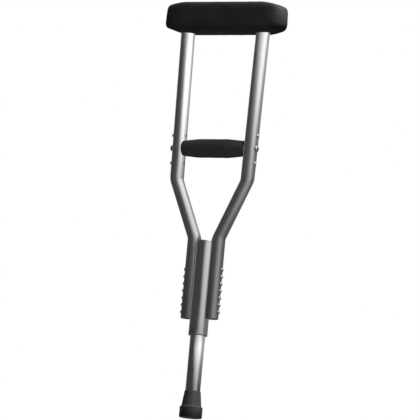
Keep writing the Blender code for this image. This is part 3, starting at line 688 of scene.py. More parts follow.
def make_looks():
    """Each kind of piece's material, and the slot of the record that it belongs to."""
    # Painted shade: the uprights and the sleeve are painted lighter at the top and darker at the
    # foot; the inner leg stays even.
    upright = drawn_metal("upright aluminium", (0.60, 0.34), (0.31, 0.28), 0.62, 0.34, dull=0.82)
    sleeve = drawn_metal("sleeve aluminium", (0.69, 0.14), (0.53, 0.11), 0.180, 0.152)
    leg = drawn_metal("inner leg aluminium", (0.96, 0.14), (0.96, 0.14), 0.13, 0.05)
    # The pad's last value is its painted end shade: lighter at the top of its ends, darker below.
    pad = foam("pad foam", 0.021, 0.040, (0.098, 0.116, 0.722, 0.752))
    return {
        "upright": (upright, "upright_aluminium"),
        "sleeve": (sleeve, "sleeve_aluminium"),
        "leg": (leg, "leg_aluminium"),
        "rivet": (turned_metal("rivet aluminium", 0.62, 0.34), "rivet_aluminium"),
        "steel": (turned_metal("plated steel", 0.52, 0.24), "plated_steel"),
        "plastic": (moulded("black plastic", 0.018, 0.034, 0.42), "black_plastic"),
        "pad": (pad, "pad_foam"),
        "grip": (foam("grip foam", 0.023, 0.043), "grip_foam"),
        "rubber": (tip_rubber(), "tip_rubber"),
    }


# Metal tubes


def groove_mesh(offset, below):
    """The sleeve's space in a leg, grown by offset, which ends in a cone above the sleeve."""
    radius = GROOVE_RADIUS + offset
    shoulder, foot = SLEEVE_TOP_Z + GAP, LEG_BASE_Z - below
    cone = radius / GROOVE_RUN_OUT_SLOPE
    profile = [(0.0, shoulder + cone), (radius, shoulder), (radius, foot), (0.0, foot)]
    return turned_mesh(profile, GROOVE_SIDES)


def upright_path(side, past_ends):
    low, high = LEG_BASE_Z - past_ends, UPRIGHT_TOP_Z + past_ends
    line = [(LEG_X, low), (LEG_X, LOWER_BEND_Z), (UPPER_BEND_X, UPPER_BEND_Z)]
    corners = [(side * x, 0.0, z) for x, z in line + [(upright_x(high), high)]]
    path = rounded_path(corners, BEND_RADIUS, BEND_STEPS)
    return [Vector(point) for point in split_long_runs(path, RING_SPACING)]


def upright_radius(z):
    """The tube's full radius, drawn in smoothly between the two bends."""
    runs = (z - LOWER_BEND_Z, UPPER_BEND_Z - z)
    share = min(max(min(runs) + NECK_RUN, 0.0) / (2 * NECK_RUN), 1.0)
    share = share * share * (3 - 2 * share)
    return TUBE_RADIUS + (TUBE_NECK_RADIUS - TUBE_RADIUS) * share


def round_ends(path, radii, size):
    """The path and radii with the bar's edge rounded at both ends."""
    turns = [math.pi / 2 * k / FILLET_STEPS for k in range(FILLET_STEPS + 1)]
    arc = [(size * (1 - math.cos(turn)), size * (1 - math.sin(turn))) for turn in turns]
    arc.append((size + EDGE_STRIP, 0.0))
    ends = []
    for end, inner in ((0, 1), (-1, -2)):
        way = (path[inner] - path[end]).normalized()
        ends.append([(path[end] + way * along, radii[end] - drop) for along, drop in arc])
    between = list(zip(path, radii))[1:-1]
    return zip(*ends[0], *between, *reversed(ends[1]))


def upright_holes(side):
    """All the holes across an upright: rivets, grip bolt, plugs and pad pin."""
    bm = bmesh.new()
    reach = 2 * TUBE_RADIUS
    for z in rivet_heights():
        ends = [(side * x, 0.0, z) for x in (GROOVE_RADIUS - CUT_MARGIN, LEG_X + reach)]
        add_rod(bm, *ends, RIVET_RADIUS + GAP)
    for z in (UPPER_GRIP_HOLE_Z, GRIP_Z, LOWER_GRIP_HOLE_Z):
        ends = [(side * upright_x(z) + x, GRIP_HOLE_Y, z) for x in (-reach, reach)]
        add_rod(bm, *ends, BOLT_RADIUS + GAP)
    z = UPRIGHT_TOP_Z - PAD_PIN_BELOW_TUBE_TOP
    ends = [(side * upright_x(z), y, z) for y in (-reach, reach)]
    add_rod(bm, *ends, PAD_PIN_RADIUS + GAP)
    return mesh_from(bm)


def mark_drawing(obj, path):
    """Stores each point's turn round the tube and its way along it, for the drawn lines."""
    points = np.array([vertex.co for vertex in obj.data.vertices])
    line = np.array(path)
    ends, steps = line[:-1], np.diff(line, axis=0)
    lengths = np.linalg.norm(steps, axis=1)
    before = np.concatenate([[0.0], np.cumsum(lengths)[:-1]])
    share = np.einsum("pij,ij->pi", points[:, None] - ends, steps) / lengths**2
    share = np.clip(share, 0.0, 1.0)
    nearest = ends + share[..., None] * steps
    pick = np.linalg.norm(points[:, None] - nearest, axis=2).argmin(axis=1)
    rows = np.arange(len(points))
    offset = points - nearest[rows, pick]
    along = before[pick] + share[rows, pick] * lengths[pick]
    forward = steps[pick] / lengths[pick][:, None]
    sideways = np.cross((0.0, 1.0, 0.0), forward)
    turn = np.arctan2(offset[:, 1], np.einsum("pi,pi->p", offset, sideways))
    values = np.stack([np.cos(turn), np.sin(turn), along], axis=1) * DRAWN_SCALE
    attribute = obj.data.attributes.new("drawn", "FLOAT_VECTOR", "POINT")
    attribute.data.foreach_set("vector", values.astype(np.float32).ravel())


def make_uprights(look):
    for side, word in SIDES:
        path, bore_path = upright_path(side, 0.0), upright_path(side, CUT_MARGIN)
        radii = [upright_radius(point.z) for point in path]
        rounded = round_ends(path, radii, TUBE_END_ROUND)
        upright = add_object("upright_tube_" + word, swept_mesh(*rounded))
        bore_radii = [upright_radius(point.z) - TUBE_WALL for point in bore_path]
        bore = add_object("bore", swept_mesh(bore_path, bore_radii))
        cut_away(bore, groove_mesh(TUBE_WALL, 2 * CUT_MARGIN))
        cut_away(upright, groove_mesh(0.0, CUT_MARGIN), bore.data.copy(), upright_holes(side))
        bpy.data.objects.remove(bore)
        mark_drawing(upright, path)
        finish_piece(upright, "frame", look, "upright_" + word)


def make_leg_plugs(plastic):
    """The plugs in the feet of the lower legs, shaped round the sleeve like the legs."""
    radius = TUBE_RADIUS - TUBE_WALL - GAP
    low, high = LEG_BASE_Z + GAP, LEG_BASE_Z + LEG_PLUG_DEPTH
    profile = filleted([(0.0, high), (radius, high), (radius, low, BROAD_EDGE), (0.0, low)])
    for side, word in SIDES:
        plug = add_object("foot_plug_" + word, turned_mesh(profile, centre_x=side * LEG_X))
        cut_away(plug, groove_mesh(TUBE_WALL + GAP, CUT_MARGIN))
        finish_piece(plug, "frame", plastic, "leg_end_plug_" + word)


def make_sleeve(look):
    """The sleeve tube, with rivet holes at its sides and button holes at its back."""
    low = SLEEVE_BASE_Z + BUSH_FLANGE + GAP
    high = SLEEVE_TOP_Z - SLEEVE_CAP_FLANGE - GAP
    profile = tube_section(SLEEVE_RADIUS, SLEEVE_BORE, low, high, FINE_EDGE)
    sleeve = add_object("sleeve_tube", turned_mesh(profile, closed=True))
    reach = SLEEVE_RADIUS + CUT_MARGIN
    sides, back = bmesh.new(), bmesh.new()
    for z in rivet_heights():
        add_rod(sides, (-reach, 0.0, z), (reach, 0.0, z), RIVET_RADIUS + GAP)
        start, end = (0.0, SLEEVE_BORE - CUT_MARGIN, z), (0.0, reach, z)
        add_rod(back, start, end, BUTTON_RADIUS + SLIDE_GAP)
    cut_away(sleeve, mesh_from(sides), mesh_from(back))
    mark_drawing(sleeve, [(0.0, 0.0, low), (0.0, 0.0, high)])
    finish_piece(sleeve, "frame", look, "leg_sleeve")
    sleeve.visible_glossy = True


def make_sleeve_cap(look):
    """The cap on the sleeve's top, with its stem in the bore."""
    flange_base, stem = SLEEVE_TOP_Z - SLEEVE_CAP_FLANGE, SLEEVE_BORE - GAP
    stem_base = flange_base - SLEEVE_CAP_DEPTH
    line = [(0.0, SLEEVE_TOP_Z), (SLEEVE_RADIUS, SLEEVE_TOP_Z, SLEEVE_CAP_ROUND)]
    line += [(SLEEVE_RADIUS, flange_base, THIN_EDGE), (stem, flange_base)]
    line += [(stem, stem_base, SMALL_EDGE), (0.0, stem_base)]
    cap = add_object("sleeve_top_cap", turned_mesh(filleted(line)))
    low = SLEEVE_BASE_Z + BUSH_FLANGE + GAP
    mark_drawing(cap, [(0.0, 0.0, low), (0.0, 0.0, SLEEVE_TOP_Z)])
    finish_piece(cap, "frame", look, "sleeve_cap")


def make_sleeve_bush(plastic):
    """The flanged bush in the sleeve's mouth, which guides the inner leg."""
    bore, stem = INNER_LEG_RADIUS + GAP, SLEEVE_BORE - GAP
    base, flange_top = SLEEVE_BASE_Z, SLEEVE_BASE_Z + BUSH_FLANGE
    line = [(bore, flange_top + BUSH_DEPTH), (stem, flange_top + BUSH_DEPTH, SMALL_EDGE)]
    line += [(stem, flange_top), (SLEEVE_RADIUS, flange_top, THIN_EDGE)]
    line += [(SLEEVE_RADIUS, base, SOFT_EDGE), (bore, base, BORE_EDGE)]
    bush = add_object("sleeve_mouth_bush", turned_mesh(filleted(line), closed=True))
    finish_piece(bush, "frame", plastic, "sleeve_bush")


def make_inner_leg(look):
    low, high = INNER_LEG_BASE_Z, INNER_LEG_TOP_Z
    profile = tube_section(INNER_LEG_RADIUS, INNER_LEG_BORE, low, high, FINE_EDGE)
    leg = add_object("inner_leg_tube", turned_mesh(profile, closed=True))
    bm = bmesh.new()
    start = (0.0, INNER_LEG_BORE - CUT_MARGIN, RIVET_MIDDLE_Z)
    end = (0.0, INNER_LEG_RADIUS + CUT_MARGIN, RIVET_MIDDLE_Z)
    add_rod(bm, start, end, BUTTON_RADIUS + SLIDE_GAP)
    cut_away(leg, mesh_from(bm))
    mark_drawing(leg, [(0.0, 0.0, low), (0.0, 0.0, high)])
    finish_piece(leg, "leg", look, "inner_leg")


# Fasteners


def make_rivets(look):
    """Dome-headed rivets, each with its shank and the tail spread inside the sleeve."""
    seat = LEG_X + TUBE_RADIUS + GAP
    sag = SLEEVE_BORE - math.sqrt(SLEEVE_BORE**2 - RIVET_TAIL_RADIUS**2)
    tail = SLEEVE_BORE - GAP - sag - seat
    end = tail - RIVET_TAIL_THICKNESS
    line = [(0.0, end), (RIVET_TAIL_RADIUS, end, FINE_EDGE), (RIVET_TAIL_RADIUS, tail)]
    line += [(RIVET_RADIUS, tail), (RIVET_RADIUS, 0.0)]
    profile = filleted(line) + dome_line(RIVET_HEAD_RADIUS, RIVET_HEAD_HEIGHT, 0.0)
    for side, word in SIDES:
        for number, z in enumerate(rivet_heights(), start=1):
            mesh = turned_mesh(profile, SMALL_SIDES)
            drape_on_tube(mesh, RIVET_HEAD_HEIGHT)
            rivet = add_object(f"rivet_{word}_{number}", mesh, facing(side, seat, z))
            finish_piece(rivet, "frame", look, f"leg_rivet_{word}_{number}")


def make_grip_fasteners(steel):
    """The bolt through both uprights, its dome nut and the saddle washers."""
    seat = upright_x(GRIP_Z) + TUBE_RADIUS + GAP
    hole = BOLT_RADIUS + GAP
    line = [(hole, WASHER_THICKNESS), (BOLT_HEAD_RADIUS, WASHER_THICKNESS, FINE_EDGE)]
    line += [(BOLT_HEAD_RADIUS, 0.0), (hole, 0.0)]
    profile = split_long_runs(filleted(line), WASHER_SPACING)
    for side, word in SIDES:
        mesh = turned_mesh(profile, SMALL_SIDES, True)
        drape_on_tube(mesh, WASHER_THICKNESS, GRIP_HOLE_Y)
        washer = add_object("washer_" + word, mesh, facing(side, seat, GRIP_Z, GRIP_HOLE_Y))
        finish_piece(washer, "frame", steel, "grip_washer_" + word)

    base = seat + WASHER_THICKNESS + GAP
    end = base + BOLT_HEAD_HEIGHT - NUT_WALL_OVER_BOLT - GAP
    head = dome_line(BOLT_HEAD_RADIUS, BOLT_HEAD_HEIGHT, base)
    shank = filleted([(0.0, -end), (BOLT_RADIUS, -end, SMALL_EDGE), (BOLT_RADIUS, base)])
    inside = [(0.0, end + GAP), (hole, end + GAP), (hole, base)]
    for name, profile, side, node in (
        ("bolt", shank + head, 1, "grip_bolt"),
        ("dome_nut", inside + head, -1, "grip_nut"),
    ):
        place = facing(side, 0.0, GRIP_Z, GRIP_HOLE_Y)
        piece = add_object(name, turned_mesh(profile, SMALL_SIDES), place)
        finish_piece(piece, "frame", steel, node)


def make_hole_plugs(steel):
    """The plugs across both walls of an upright, in the spare grip holes."""
    stem, foot = BOLT_RADIUS, HOLE_PLUG_RECESS - 2 * TUBE_RADIUS - GAP
    line = filleted([(0.0, foot), (stem, foot, SOFT_EDGE), (stem, 0.0)])
    line += dome_line(HOLE_PLUG_RADIUS, HOLE_PLUG_HEIGHT, 0.0)
    for side, word in SIDES:
        for z, level in ((UPPER_GRIP_HOLE_Z, "upper"), (LOWER_GRIP_HOLE_Z, "lower")):
            mesh = turned_mesh(line, SMALL_SIDES)
            drape_on_tube(mesh, HOLE_PLUG_HEIGHT, GRIP_HOLE_Y)
            place = facing(side, upright_x(z) + TUBE_RADIUS + GAP, z, GRIP_HOLE_Y)
            plug = add_object(f"spare_hole_plug_{word}_{level}", mesh, place)
            finish_piece(plug, "frame", steel, f"hole_plug_{word}_{level}")


def button_face():
    """How far behind the leg's middle the outer face of the button's flange lies."""
    return math.sqrt(INNER_LEG_BORE**2 - BUTTON_FLANGE_RADIUS**2) - GAP


def make_snap_button(steel):
    """The domed button that stands through the leg and the sleeve at the back."""
    crown, face = SLEEVE_RADIUS + BUTTON_PROUD, button_face()
    back, flange = face - BUTTON_FLANGE_THICKNESS, BUTTON_FLANGE_RADIUS
    tail = back - BUTTON_TAIL_LENGTH
    line = [(0.0, tail), (BUTTON_TAIL_RADIUS, tail, FINE_EDGE), (BUTTON_TAIL_RADIUS, back)]
    line += [(flange, back, FINE_EDGE), (flange, face, FINE_EDGE), (BUTTON_RADIUS, face)]
    dome = dome_line(BUTTON_RADIUS, BUTTON_DOME_HEIGHT, crown - BUTTON_DOME_HEIGHT)
    mesh = turned_mesh(filleted(line) + dome, SMALL_SIDES)
    place = Matrix.Translation((0.0, 0.0, RIVET_MIDDLE_Z)) @ Matrix.Rotation(-math.pi / 2, 4, "X")
    finish_piece(add_object("lock_button", mesh, place), "button", steel, "snap_button")


def make_button_spring(steel):
    """The hairpin leaf spring behind the button, which closes up as the button goes in."""
    tail = button_face() - BUTTON_FLANGE_THICKNESS - BUTTON_TAIL_LENGTH
    arm = tail - GAP - SPRING_THICKNESS / 2
    heel = -(math.sqrt(INNER_LEG_BORE**2 - SPRING_WIDTH**2 / 4) - GAP - SPRING_THICKNESS)
    head, knee = [RIVET_MIDDLE_Z + side * BUTTON_FLANGE_RADIUS for side in (1, -1)]
    foot, bend = head - SPRING_LENGTH, SPRING_BEND_RADIUS
    corners = [(arm, head), (arm, knee), (bend, foot), (-bend, foot), (heel, knee), (heel, head)]
    path = rounded_path([(0.0, y, z) for y, z in corners], bend, BEND_STEPS)
    bm = bmesh.new()
    rings = []
    for i, point in enumerate(path):
        along = (path[min(i + 1, len(path) - 1)] - path[max(i - 1, 0)]).normalized()
        outward = Vector((0.0, -along.z, along.y)) * SPRING_THICKNESS / 2
        across = AXIS_X * SPRING_WIDTH / 2
        edges = [outward + across, outward - across, -outward - across, -outward + across]
        rings.append([bm.verts.new(point + edge) for edge in edges])
    add_skin(bm, rings)
    spring = add_object("hairpin_spring", mesh_from(bm))
    finish_piece(spring, "leg", steel, "button_spring")
    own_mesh(spring)


# Foam and rubber


def rounded_off(x, radius):
    """How far an edge of the pad has drawn in at x, where an arc rounds off its end."""
    past = max(abs(x) - (PAD_LENGTH / 2 - radius), 0.0)
    return radius - math.sqrt(max(radius**2 - past**2, 0.0))


def pad_section(x):
    """The half width, top and bottom of the pad at x."""
    past = max(abs(x) - (PAD_LENGTH / 2 - PAD_END_REACH), 0.0) / PAD_END_REACH
    curve, corner = past**PAD_END_BEND, rounded_off(x, PAD_CORNER_RADIUS)
    half_width = PAD_WIDTH / 2 - PAD_END_TAPER * past**2 - rounded_off(x, PAD_SIDE_RADIUS)
    top = PAD_TOP_Z - PAD_TOP_END_DROP * curve - corner
    return half_width, top, PAD_BASE_Z + PAD_BOTTOM_END_DROP * curve + corner


def pad_outline(x):
    """Points round the pad's section at x: arcs at its corners, and the sides between them."""
    half_width, top, bottom = pad_section(x)
    centre, radius = (top + bottom) / 2, min(PAD_EDGE_RADIUS, 0.95 * half_width)
    arcs = []
    for quarter, (side, level) in enumerate(((1, 1), (-1, 1), (-1, -1), (1, -1))):
        y, z = side * (half_width - radius), level * ((top - bottom) / 2 - radius)
        turns = [math.pi / 2 * (quarter + i / PAD_ARC_STEPS) for i in range(PAD_ARC_STEPS + 1)]
        arcs.append([(y + radius * math.cos(a), z + radius * math.sin(a)) for a in turns])
    points = []
    for arc, following in zip(arcs, arcs[1:] + arcs[:1]):
        (y1, z1), (y2, z2) = arc[-1], following[0]
        shares = [k / PAD_SIDE_STEPS for k in range(1, PAD_SIDE_STEPS)]
        points += arc + [(y1 + (y2 - y1) * a, z1 + (z2 - z1) * a) for a in shares]
    lean = PAD_END_LEAN * x / (PAD_LENGTH / 2)
    crowned = [(y, z - (PAD_CROWN * (2 * y / PAD_WIDTH) ** 2 if z > 0 else 0.0)) for y, z in points]
    return [Vector((x - lean * z, y, centre + z)) for y, z in crowned]


def pad_mesh():
    """The pad's form: rounded sections that close in towards both ends."""
    half, corner = PAD_LENGTH / 2, PAD_CORNER_RADIUS
    count = math.ceil((half - corner) / FOAM_SPACING)
    stations = [(half - corner) * i / count for i in range(count)]
    steps = PAD_END_STEPS
    turns = [math.pi / 2 * i / steps for i in range(steps + 1)]
    stations += [half - corner * (1 - math.sin(turn)) for turn in turns]
    outlines = [pad_outline(x) for x in [-x for x in reversed(stations[1:])] + stations]
    for last in (0, -1):
        centre = sum(outlines[last], Vector()) / len(outlines[last])
        shares = [k / steps for k in range(steps - 1, 0, -1)]
        rings = [[centre.lerp(point, share) for point in outlines[last]] for share in shares]
        rings.append([centre])
        outlines = rings[::-1] + outlines if last == 0 else outlines + rings
    bm = bmesh.new()
    join_rings(bm, [[bm.verts.new(point) for point in outline] for outline in outlines])
    return mesh_from(bm)


def point_values(mesh, kind):
    """What each point has of one kind: its place, co, or its normal."""
    values = np.zeros(len(mesh.vertices) * 3, np.float32)
    mesh.vertices.foreach_get(kind, values)
    return values.reshape(-1, 3)


def push_out(mesh, distances):
    """Moves each point along its normal."""
    points = point_values(mesh, "co")
    points += point_values(mesh, "normal") * np.array(distances)[:, None]
    mesh.vertices.foreach_set("co", points.ravel())
    mesh.update()


def fill_out(mesh):
    """Lets the foam's faces swell a little, by a cloth simulation of a remeshed copy.

    The copy's points carry their outward moves over to the mesh, which keeps its edges.
    """
    scene = bpy.context.scene
    copy = add_object("foam copy", mesh.copy())
    apply_modifier(copy, "REMESH", mode="VOXEL", voxel_size=FOAM_VOXEL)
    start, normals = point_values(copy.data, "co"), point_values(copy.data, "normal")
    cloth = copy.modifiers.new("cloth", "CLOTH")
    cloth.settings.use_pressure = True
    cloth.settings.uniform_pressure_force = FOAM_PRESSURE
    cloth.settings.effector_weights.gravity = 0.0
    cloth.point_cache.frame_end = FOAM_FRAMES
    for number in range(1, FOAM_FRAMES + 1):
        scene.frame_set(number)
    take_evaluated(copy)
    scene.frame_set(1)
    outward = np.einsum("pi,pi->p", point_values(copy.data, "co") - start, normals)
    outward = np.clip(outward, 0.0, FOAM_MOST_MOVE)
    bpy.data.objects.remove(copy)

    tree = kdtree.KDTree(len(start))
    for i, point in enumerate(start):
        tree.insert(point, i)
    tree.balance()
    moves = []
    for point in point_values(mesh, "co"):
        near = tree.find_n(point, 6)
        weights = [1 / (distance + FOAM_VOXEL / 2) for _, _, distance in near]
        moved = [outward[i] * weight for (_, i, _), weight in zip(near, weights)]
        moves.append(sum(moved) / sum(weights))
    push_out(mesh, moves)


def roughen(mesh, *layers):
    """Moves each point along its normal by smooth noise, in layers of (size, amount)."""
    for size, amount in layers:
        points = point_values(mesh, "co")
        push_out(mesh, [noise.noise(Vector(point / size)) * amount for point in points])


def crossbar_space():
    """The space that the crossbar takes in the pad, with a gap round it."""
    radius = CROSSBAR_WIDTH / 2 + GAP
    reach = CROSSBAR_LENGTH / 2 + GAP - radius
    outline = []
    for side in (1, -1):
        for i in range(CROSSBAR_END_STEPS + 1):
            turn = side * math.pi / 2 - math.pi * i / CROSSBAR_END_STEPS
            outline.append((side * reach + radius * math.cos(turn), radius * math.sin(turn)))
    bm = bmesh.new()
    levels = (CROSSBAR_BASE_Z - GAP, CROSSBAR_TOP_Z + GAP)
    add_skin(bm, [[bm.verts.new((x, y, z)) for x, y in outline] for z in levels])
    return mesh_from(bm)


def make_pad(look):
    pad = add_object("pad_foam", pad_mesh())
    fill_out(pad.data)
    apply_modifier(pad, "SUBSURF", levels=1, render_levels=1)
    roughen(pad.data, *PAD_SKIN)
    sockets = upright_rods(PAD_BASE_Z - CUT_MARGIN, CROSSBAR_BASE_Z + CUT_MARGIN)
    cut_away(pad, crossbar_space(), sockets)
    finish_piece(pad, "frame", look, "underarm_pad")


def make_grip(look):
    """The foam grip, whose ends lap round the uprights."""
    half, flat = upright_x(GRIP_Z) - TUBE_RADIUS + GRIP_END_LAP, GRIP_FLAT_LENGTH / 2
    right = [(GRIP_BORE, half), (GRIP_END_RADIUS, half, GRIP_END_ROUND)]
    right.append((GRIP_RADIUS, flat, GRIP_SHOULDER_RADIUS))
    left = [(corner[0], -corner[1], *corner[2:]) for corner in reversed(right)]
    profile = split_long_runs(filleted(right + left, 8), GRIP_SPACING)
    mesh = turned_mesh(profile, GRIP_SIDES, True)
    roughen(mesh, *GRIP_SKIN)
    grip = add_object("grip_foam", mesh, facing(1, 0.0, GRIP_Z, GRIP_HOLE_Y))
    cut_away(grip, upright_rods(GRIP_Z - 2 * GRIP_RADIUS, GRIP_Z + 2 * GRIP_RADIUS))
    finish_piece(grip, "frame", look, "hand_grip")


def make_tip(rubber):
    """The rubber tip: a cone neck with a rounded lip, a wider foot ring, and its tread."""
    socket, edge = INNER_LEG_RADIUS + GAP, TIP_RING_EDGE
    corners = [
        (0.0, TIP_FLOOR),
        (socket, TIP_FLOOR),
        (socket, TIP_HEIGHT, FINE_EDGE),
        (TIP_LIP_RADIUS, TIP_HEIGHT, SMALL_EDGE),
        (TIP_NECK_RADIUS, TIP_RING_HEIGHT, TIP_NECK_ROUND),
        (TIP_RING_RADIUS, TIP_RING_HEIGHT, edge),
        (TIP_RING_RADIUS, 0.0, edge),
    ]
    for inner, outer in reversed(TREAD_GROOVES):
        corners += [(outer, 0.0, SMALL_EDGE), (outer, TREAD_DEPTH, FINE_EDGE)]
        corners += [(inner, TREAD_DEPTH, FINE_EDGE), (inner, 0.0, SMALL_EDGE)]
    corners.append((0.0, 0.0))
    tip = add_object("tip_rubber", turned_mesh(filleted(corners, 6)))
    finish_piece(tip, "leg", rubber, "rubber_tip")


def dress_hidden_nodes(nodes, looks):
    """Materials for the CAD nodes that stay as they are."""
    core = drawn_metal("grip tube aluminium", (0.66, 0.32), (0.60, 0.34), 0.5, 0.4, False)
    nylon = moulded("grey nylon", 0.030, 0.045, 0.5)
    for material, names in (
        (looks["plastic"][0], ["pad_crossbar"]),
        (looks["steel"][0], ["pad_pin_left", "pad_pin_right", "tip_disc"]),
        (core, ["grip_tube"]),
        (nylon, ["grip_bush_left", "grip_bush_right", "leg_guide"]),
    ):
        for name in names:
            nodes[name].visible_glossy = False
            for slot in nodes[name].material_slots:
                slot.material = material


# Studio


def direction(azimuth, elevation):
    """The unit vector towards an azimuth, with 0 at -Y and 90 at +X, and an elevation."""
    a, e = math.radians(azimuth), math.radians(elevation)
    return Vector((math.sin(a) * math.cos(e), -math.cos(a) * math.cos(e), math.sin(e)))


def make_camera():
    data = bpy.data.cameras.new("camera")
    data.lens, data.sensor_width = CAMERA_LENS, 36.0
    data.shift_x, data.shift_y = CAMERA_SHIFT
    data.clip_start, data.clip_end = 0.1, 60.0
    camera = bpy.data.objects.new("camera", data)
    back = direction(CAMERA_AZIMUTH, CAMERA_ELEVATION)
    place = Vector((0.0, 0.0, CAMERA_TARGET_Z)) + back * CAMERA_DISTANCE
    roll = Matrix.Rotation(math.radians(CAMERA_ROLL), 4, "Z")
    turn = back.to_track_quat("Z", "Y").to_matrix().to_4x4() @ roll
    camera.matrix_world = Matrix.Translation(place) @ turn
    bpy.context.scene.collection.objects.link(camera)
    bpy.context.scene.camera = camera


def make_world():
    """A white background, and a dimmer even light on what isn't shiny."""
    shader = Shader("studio", bpy.data.worlds)
    bpy.context.scene.world = shader.owner
    shown = shader.add("Background", {"Color": (1.0, 1.0, 1.0, 1.0), "Strength": 1.0})
    fill = shader.add("Background", {"Color": (0.97, 0.98, 1.0, 1.0), "Strength": WORLD_FILL})
    rays = shader.add("LightPath").node.outputs
    kinds = [rays[f"Is {kind} Ray"] for kind in ("Camera", "Glossy", "Transmission")]
    shader.show(shader.add("MixShader", {0: shader.math("MAXIMUM", *kinds), 1: fill, 2: shown}))


def hang_card(card, shader):
    """Gives a card its glow, and shows it in reflections only."""
    card.data.materials.append(shader.owner)
    card.visible_camera = card.visible_diffuse = card.visible_shadow = False
    card.visible_transmission = card.visible_volume_scatter = False


def studio_ramp(shader, height):
    """The columns of STUDIO at this height, as sockets."""
    ramp = shader.add("ValToRGB", {"Fac": height}).node
    elements = ramp.color_ramp.elements
    elements.remove(elements[0])
    elements[0].position = STUDIO[-1][0]
    for row, (level, bright, start, end, behind) in enumerate(STUDIO):
        element = elements[-1] if row == len(STUDIO) - 1 else elements.new(level)
        element.color = (bright / 2, (start + 180) / 360, (end + 180) / 360, behind / 2)
    parts = shader.add("SeparateColor", {0: ramp.outputs["Color"]}).node.outputs
    turns = [shader.spread(parts[i], -180.0, 180.0) for i in (1, 2)]
    bright, behind = [shader.math("MULTIPLY", x, 2.0) for x in (parts[0], ramp.outputs["Alpha"])]
    return bright, *turns, behind


def make_reflected_studio():
    """The studio that the metal shows: dark cards, and bright openings between them."""
    middle, half = CARDS_MIDDLE_Z, CARDS_HALF_HEIGHT
    steps = [math.pi * i / 32 for i in range(33)]
    profile = [(CARDS_RADIUS * math.sin(a), middle - half * math.cos(a)) for a in steps]
    shader = Shader("studio cards")
    place = shader.place()
    flat = shader.add("VectorMath", {0: place, 1: (1.0, 1.0, 0.0)}, operation="MULTIPLY")
    flat = shader.add("VectorMath", {0: flat}, operation="NORMALIZE")
    parts = shader.split(place)

    def glow_from(azimuth, strength, near, far):
        """A glow round an azimuth, full up to near degrees from it and gone at far."""
        towards = tuple(direction(azimuth, 0.0))
        aligned = shader.add("VectorMath", {0: flat, 1: towards}, 1, operation="DOT_PRODUCT")
        off = shader.math("MULTIPLY", shader.math("ARCCOSINE", aligned), 180 / math.pi)
        return shader.spread(off, strength, 0.0, near, far, smooth=True)

    forward = shader.math("MULTIPLY", parts["Y"], -1.0)
    turn = shader.math("MULTIPLY", shader.math("ARCTAN2", parts["X"], forward), 180 / math.pi)
    bright, start, end, behind = studio_ramp(shader, parts["Z"])
    opened = shader.math("ADD", start, OPENING_RISE)
    closing = shader.math("SUBTRACT", end, OPENING_FALL)
    rise = shader.spread(turn, 0.0, 1.0, start, opened, smooth=True)
    fall = shader.spread(turn, 1.0, 0.0, closing, end, smooth=True)
    trend = shader.math("ADD", shader.math("MULTIPLY", turn, OPENING_TREND), OPENING_AT_FRONT)
    opening = shader.math("MULTIPLY", bright, rise, fall, trend)
    opening = shader.math("MAXIMUM", opening, 0.0)
    back = shader.math("MULTIPLY", glow_from(BACK_GLOW_AZIMUTH, 1.0, 18.0, 60.0), behind)
    left = glow_from(LEFT_GLOW_AZIMUTH, LEFT_GLOW, 20.0, 50.0)
    above = shader.spread(parts["Z"], 0.0, GLOW_FROM_ABOVE, 1.20, 1.36, smooth=True)
    glows = GLOW_ALL_ROUND_AT_FOOT, GLOW_ALL_ROUND
    even = shader.spread(parts["Z"], *glows, 0.19, 0.23, smooth=True)
    total = shader.math("ADD", opening, back, left, above, even)
    shader.show(shader.add("Emission", {"Strength": total}))
    hang_card(add_object("studio_cards", turned_mesh(profile, 64)), shader)


def make_light_card():
    """A soft card hung between the uprights, whose light only the left one shows."""
    bm = bmesh.new()
    (front, back), (low, high) = LIGHT_CARD_Y, LIGHT_CARD_Z
    corners = ((front, low), (back, low), (back, high), (front, high))
    bm.faces.new([bm.verts.new((0.0, y, z)) for y, z in corners])
    mesh = mesh_from(bm)
    if mesh.polygons[0].normal.x > 0:
        mesh.flip_normals()
    shader = Shader("light card")
    parts = shader.split(shader.place())
    off = shader.math("ABSOLUTE", shader.math("SUBTRACT", parts["Y"], (front + back) / 2))
    rear = shader.add("NewGeometry", output="Backfacing")
    share = shader.math(
        "MULTIPLY",
        shader.spread(off, LIGHT_CARD_GLOW, 0.0, 0.067, 0.2, smooth=True),
        shader.spread(parts["Z"], 0.0, 1.0, 0.31, 0.36, smooth=True),
        shader.spread(parts["Z"], 1.0, 0.0, 0.66, 0.80, smooth=True),
        shader.math("SUBTRACT", 1.0, rear),
    )
    glow, clear = shader.add("Emission", {"Strength": share}), shader.add("BsdfTransparent")
    shader.show(shader.add("AddShader", {0: glow, 1: clear}))
    hang_card(add_object("light_card", mesh), shader)


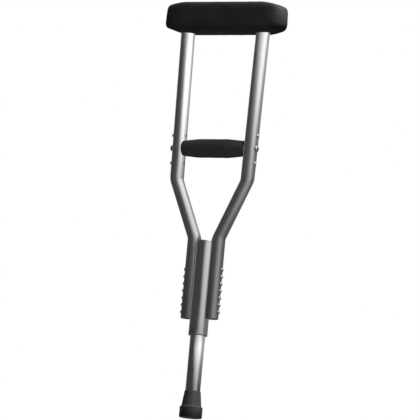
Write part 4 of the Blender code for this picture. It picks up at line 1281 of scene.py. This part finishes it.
def make_floor():
    """A pale floor that fades into the background, and can't be seen from below."""
    floor = add_object("floor", turned_mesh([(0.0, 0.0), (FLOOR_RADIUS, 0.0)], 96))
    floor.location = (0.0, 0.0, -FLOOR_DROP)
    shader = Shader("floor")
    place = shader.place()
    colour = shader.mix(shader.noise(place, 9.0), (0.88, 0.88, 0.89), (0.92, 0.92, 0.92))
    shader.set(Base_Color=colour, Roughness=0.9, Specular_IOR_Level=0.0)
    away = shader.add("VectorMath", {0: place}, 1, operation="LENGTH")
    faded = shader.spread(away, 0.0, 1.0, 0.45, 1.3, smooth=True)
    under = shader.add("NewGeometry", output="Backfacing")
    clear = shader.add("BsdfTransparent")
    hidden = shader.math("MAXIMUM", faded, under)
    shader.show(shader.add("MixShader", {0: hidden, 1: shader.principled.outputs[0], 2: clear}))
    floor.data.materials.append(shader.owner)
    if floor.data.polygons[0].normal.z < 0:
        floor.data.flip_normals()
    floor.visible_diffuse = floor.visible_glossy = False


def add_softbox(name, azimuth, elevation, distance, size, watts, spread=180.0):
    """A square lamp that no reflection shows, aimed at the crutch's middle."""
    data = bpy.data.lights.new(name, "AREA")
    data.shape, data.size, data.energy = "SQUARE", size, watts
    data.spread = math.radians(spread)
    lamp = bpy.data.objects.new(name, data)
    towards = direction(azimuth, elevation)
    lamp.location = Vector((0.0, 0.0, LAMPS_TARGET_Z)) + towards * distance
    lamp.rotation_mode = "QUATERNION"
    lamp.rotation_quaternion = towards.to_track_quat("Z", "Y")
    lamp.visible_camera = lamp.visible_glossy = False
    bpy.context.scene.collection.objects.link(lamp)


def make_studio():
    make_camera()
    make_world()
    make_reflected_studio()
    make_light_card()
    make_floor()
    add_softbox("key", 92.0, 55.0, 1.8, 1.0, 72.0)
    add_softbox("fill", 0.0, -25.0, 0.45, 0.2, 0.17, 80.0)


# The scene


def main():
    for obj in list(bpy.data.objects):
        bpy.data.objects.remove(obj, do_unlink=True)
    bpy.context.scene.view_settings.view_transform = "Standard"
    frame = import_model()
    make_studio()
    looks = make_looks()
    make_uprights(looks["upright"])
    make_leg_plugs(looks["plastic"])
    make_sleeve(looks["sleeve"])
    make_sleeve_cap(looks["sleeve"])
    make_sleeve_bush(looks["plastic"])
    make_inner_leg(looks["leg"])
    make_rivets(looks["rivet"])
    make_grip_fasteners(looks["steel"])
    make_hole_plugs(looks["steel"])
    make_snap_button(looks["steel"])
    make_button_spring(looks["steel"])
    make_pad(looks["pad"])
    make_grip(looks["grip"])
    make_tip(looks["rubber"])
    dress_hidden_nodes(frame["nodes"], looks)


main()
